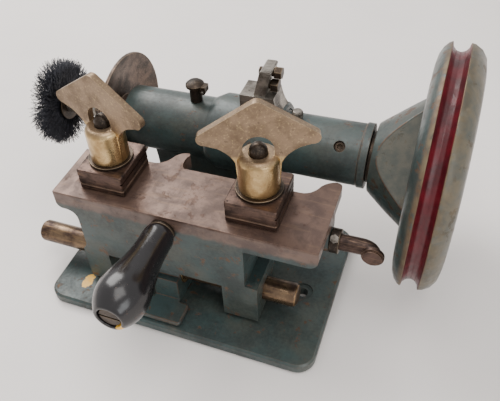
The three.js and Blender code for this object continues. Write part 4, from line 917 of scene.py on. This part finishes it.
class SHARPENER_OT_stage(bpy.types.Operator):
    """Pale floor, soft light and camera"""

    bl_idname = "sharpener.stage"
    bl_label = "Stage"

    def execute(self, context):
        self.floor()
        self.lights(context.scene)
        self.camera(context.scene)
        return {"FINISHED"}

    def floor(self):
        bm = bmesh.new()
        bmesh.ops.create_grid(bm, x_segments=8, y_segments=8, size=4.0)
        mesh = bpy.data.meshes.new("floor")
        bm.to_mesh(mesh)
        bm.free()
        mesh.materials.append(finish("floor"))
        floor = bpy.data.objects.new("floor", mesh)
        bpy.context.scene.collection.objects.link(floor)
        floor.location.z = CAD_BOX[0].z - 0.0002

    def lights(self, scene):
        world = bpy.data.worlds.new("soft_room")
        world.use_nodes = True
        world.node_tree.nodes["Background"].inputs[0].default_value = (1.0, 0.98, 0.97, 1)
        world.node_tree.nodes["Background"].inputs[1].default_value = 0.95
        scene.world = world
        for name, place, size, power, tint in (
            ("window_light", (-0.75, 0.55, 1.05), 0.9, 20.0, (1.0, 0.98, 0.95)),
            ("ceiling_light", (0.25, -0.25, 1.4), 0.9, 9.0, (1.0, 0.97, 0.94)),
            ("side_light", (0.95, -0.7, 0.6), 0.6, 4.0, (0.95, 0.98, 1.0)),
        ):
            data = bpy.data.lights.new(name, "AREA")
            data.size, data.energy, data.color = size, power, tint
            light = bpy.data.objects.new(name, data)
            light.location = place
            aim = Vector((0, 0, 0.08)) - Vector(place)
            light.rotation_euler = aim.to_track_quat("-Z", "Y").to_euler()
            scene.collection.objects.link(light)

    def camera(self, scene):
        """A camera above the right front, turned a little about its own line of sight."""
        place = (0.1547, -0.2884, 0.3897)
        heading, tilt, roll = 0.466, 0.759, -0.116  # radians
        level = Vector((-math.sin(heading), math.cos(heading), 0))
        right = Vector((math.cos(heading), math.sin(heading), 0))
        ahead = level * math.cos(tilt) + Vector((0, 0, -1)) * math.sin(tilt)
        up = right.cross(ahead)
        turned_right = right * math.cos(roll) + up * math.sin(roll)
        turned_up = up * math.cos(roll) - right * math.sin(roll)
        data = bpy.data.cameras.new("camera")
        data.sensor_width = 36
        data.lens = 43.08
        data.shift_x = 0.0858
        data.shift_y = -0.0044
        data.clip_start = 0.01
        camera = bpy.data.objects.new("camera", data)
        axes = Matrix((turned_right, turned_up, -ahead)).transposed().to_4x4()
        camera.matrix_world = Matrix.Translation(place) @ axes
        scene.collection.objects.link(camera)
        scene.camera = camera


OPERATORS = (
    SHARPENER_OT_stand,
    SHARPENER_OT_housing,
    SHARPENER_OT_pulley,
    SHARPENER_OT_wheel_end,
    SHARPENER_OT_brush,
    SHARPENER_OT_table,
    SHARPENER_OT_rod_and_bar,
    SHARPENER_OT_clamps,
    SHARPENER_OT_handle,
    SHARPENER_OT_oiler,
    SHARPENER_OT_fasteners,
    SHARPENER_OT_stage,
)


class SHARPENER_PT_panel(bpy.types.Panel):
    """Sizes, colours and pieces of the sharpener"""

    bl_idname = "SHARPENER_PT_panel"
    bl_label = "Skate sharpener"
    bl_space_type = "VIEW_3D"
    bl_region_type = "UI"
    bl_category = "Sharpener"

    def draw(self, context):
        for settings in (context.scene.sharpener_sizes, context.scene.sharpener_colours):
            box = self.layout.box()
            for name in settings.__annotations__:
                box.prop(settings, name)
        for operator in OPERATORS:
            self.layout.operator(operator.bl_idname)


CLASSES = (SharpenerSizes, SharpenerColours, *OPERATORS, SHARPENER_PT_panel)


def register():
    for cls in CLASSES:
        bpy.utils.register_class(cls)
    bpy.types.Scene.sharpener_sizes = bpy.props.PointerProperty(type=SharpenerSizes)
    bpy.types.Scene.sharpener_colours = bpy.props.PointerProperty(type=SharpenerColours)


def unregister():
    del bpy.types.Scene.sharpener_colours
    del bpy.types.Scene.sharpener_sizes
    for cls in reversed(CLASSES):
        bpy.utils.unregister_class(cls)


def main():
    register()
    for operator in OPERATORS:
        group, name = operator.bl_idname.split(".")
        getattr(getattr(bpy.ops, group), name)()


if __name__ == "__main__":
    main()
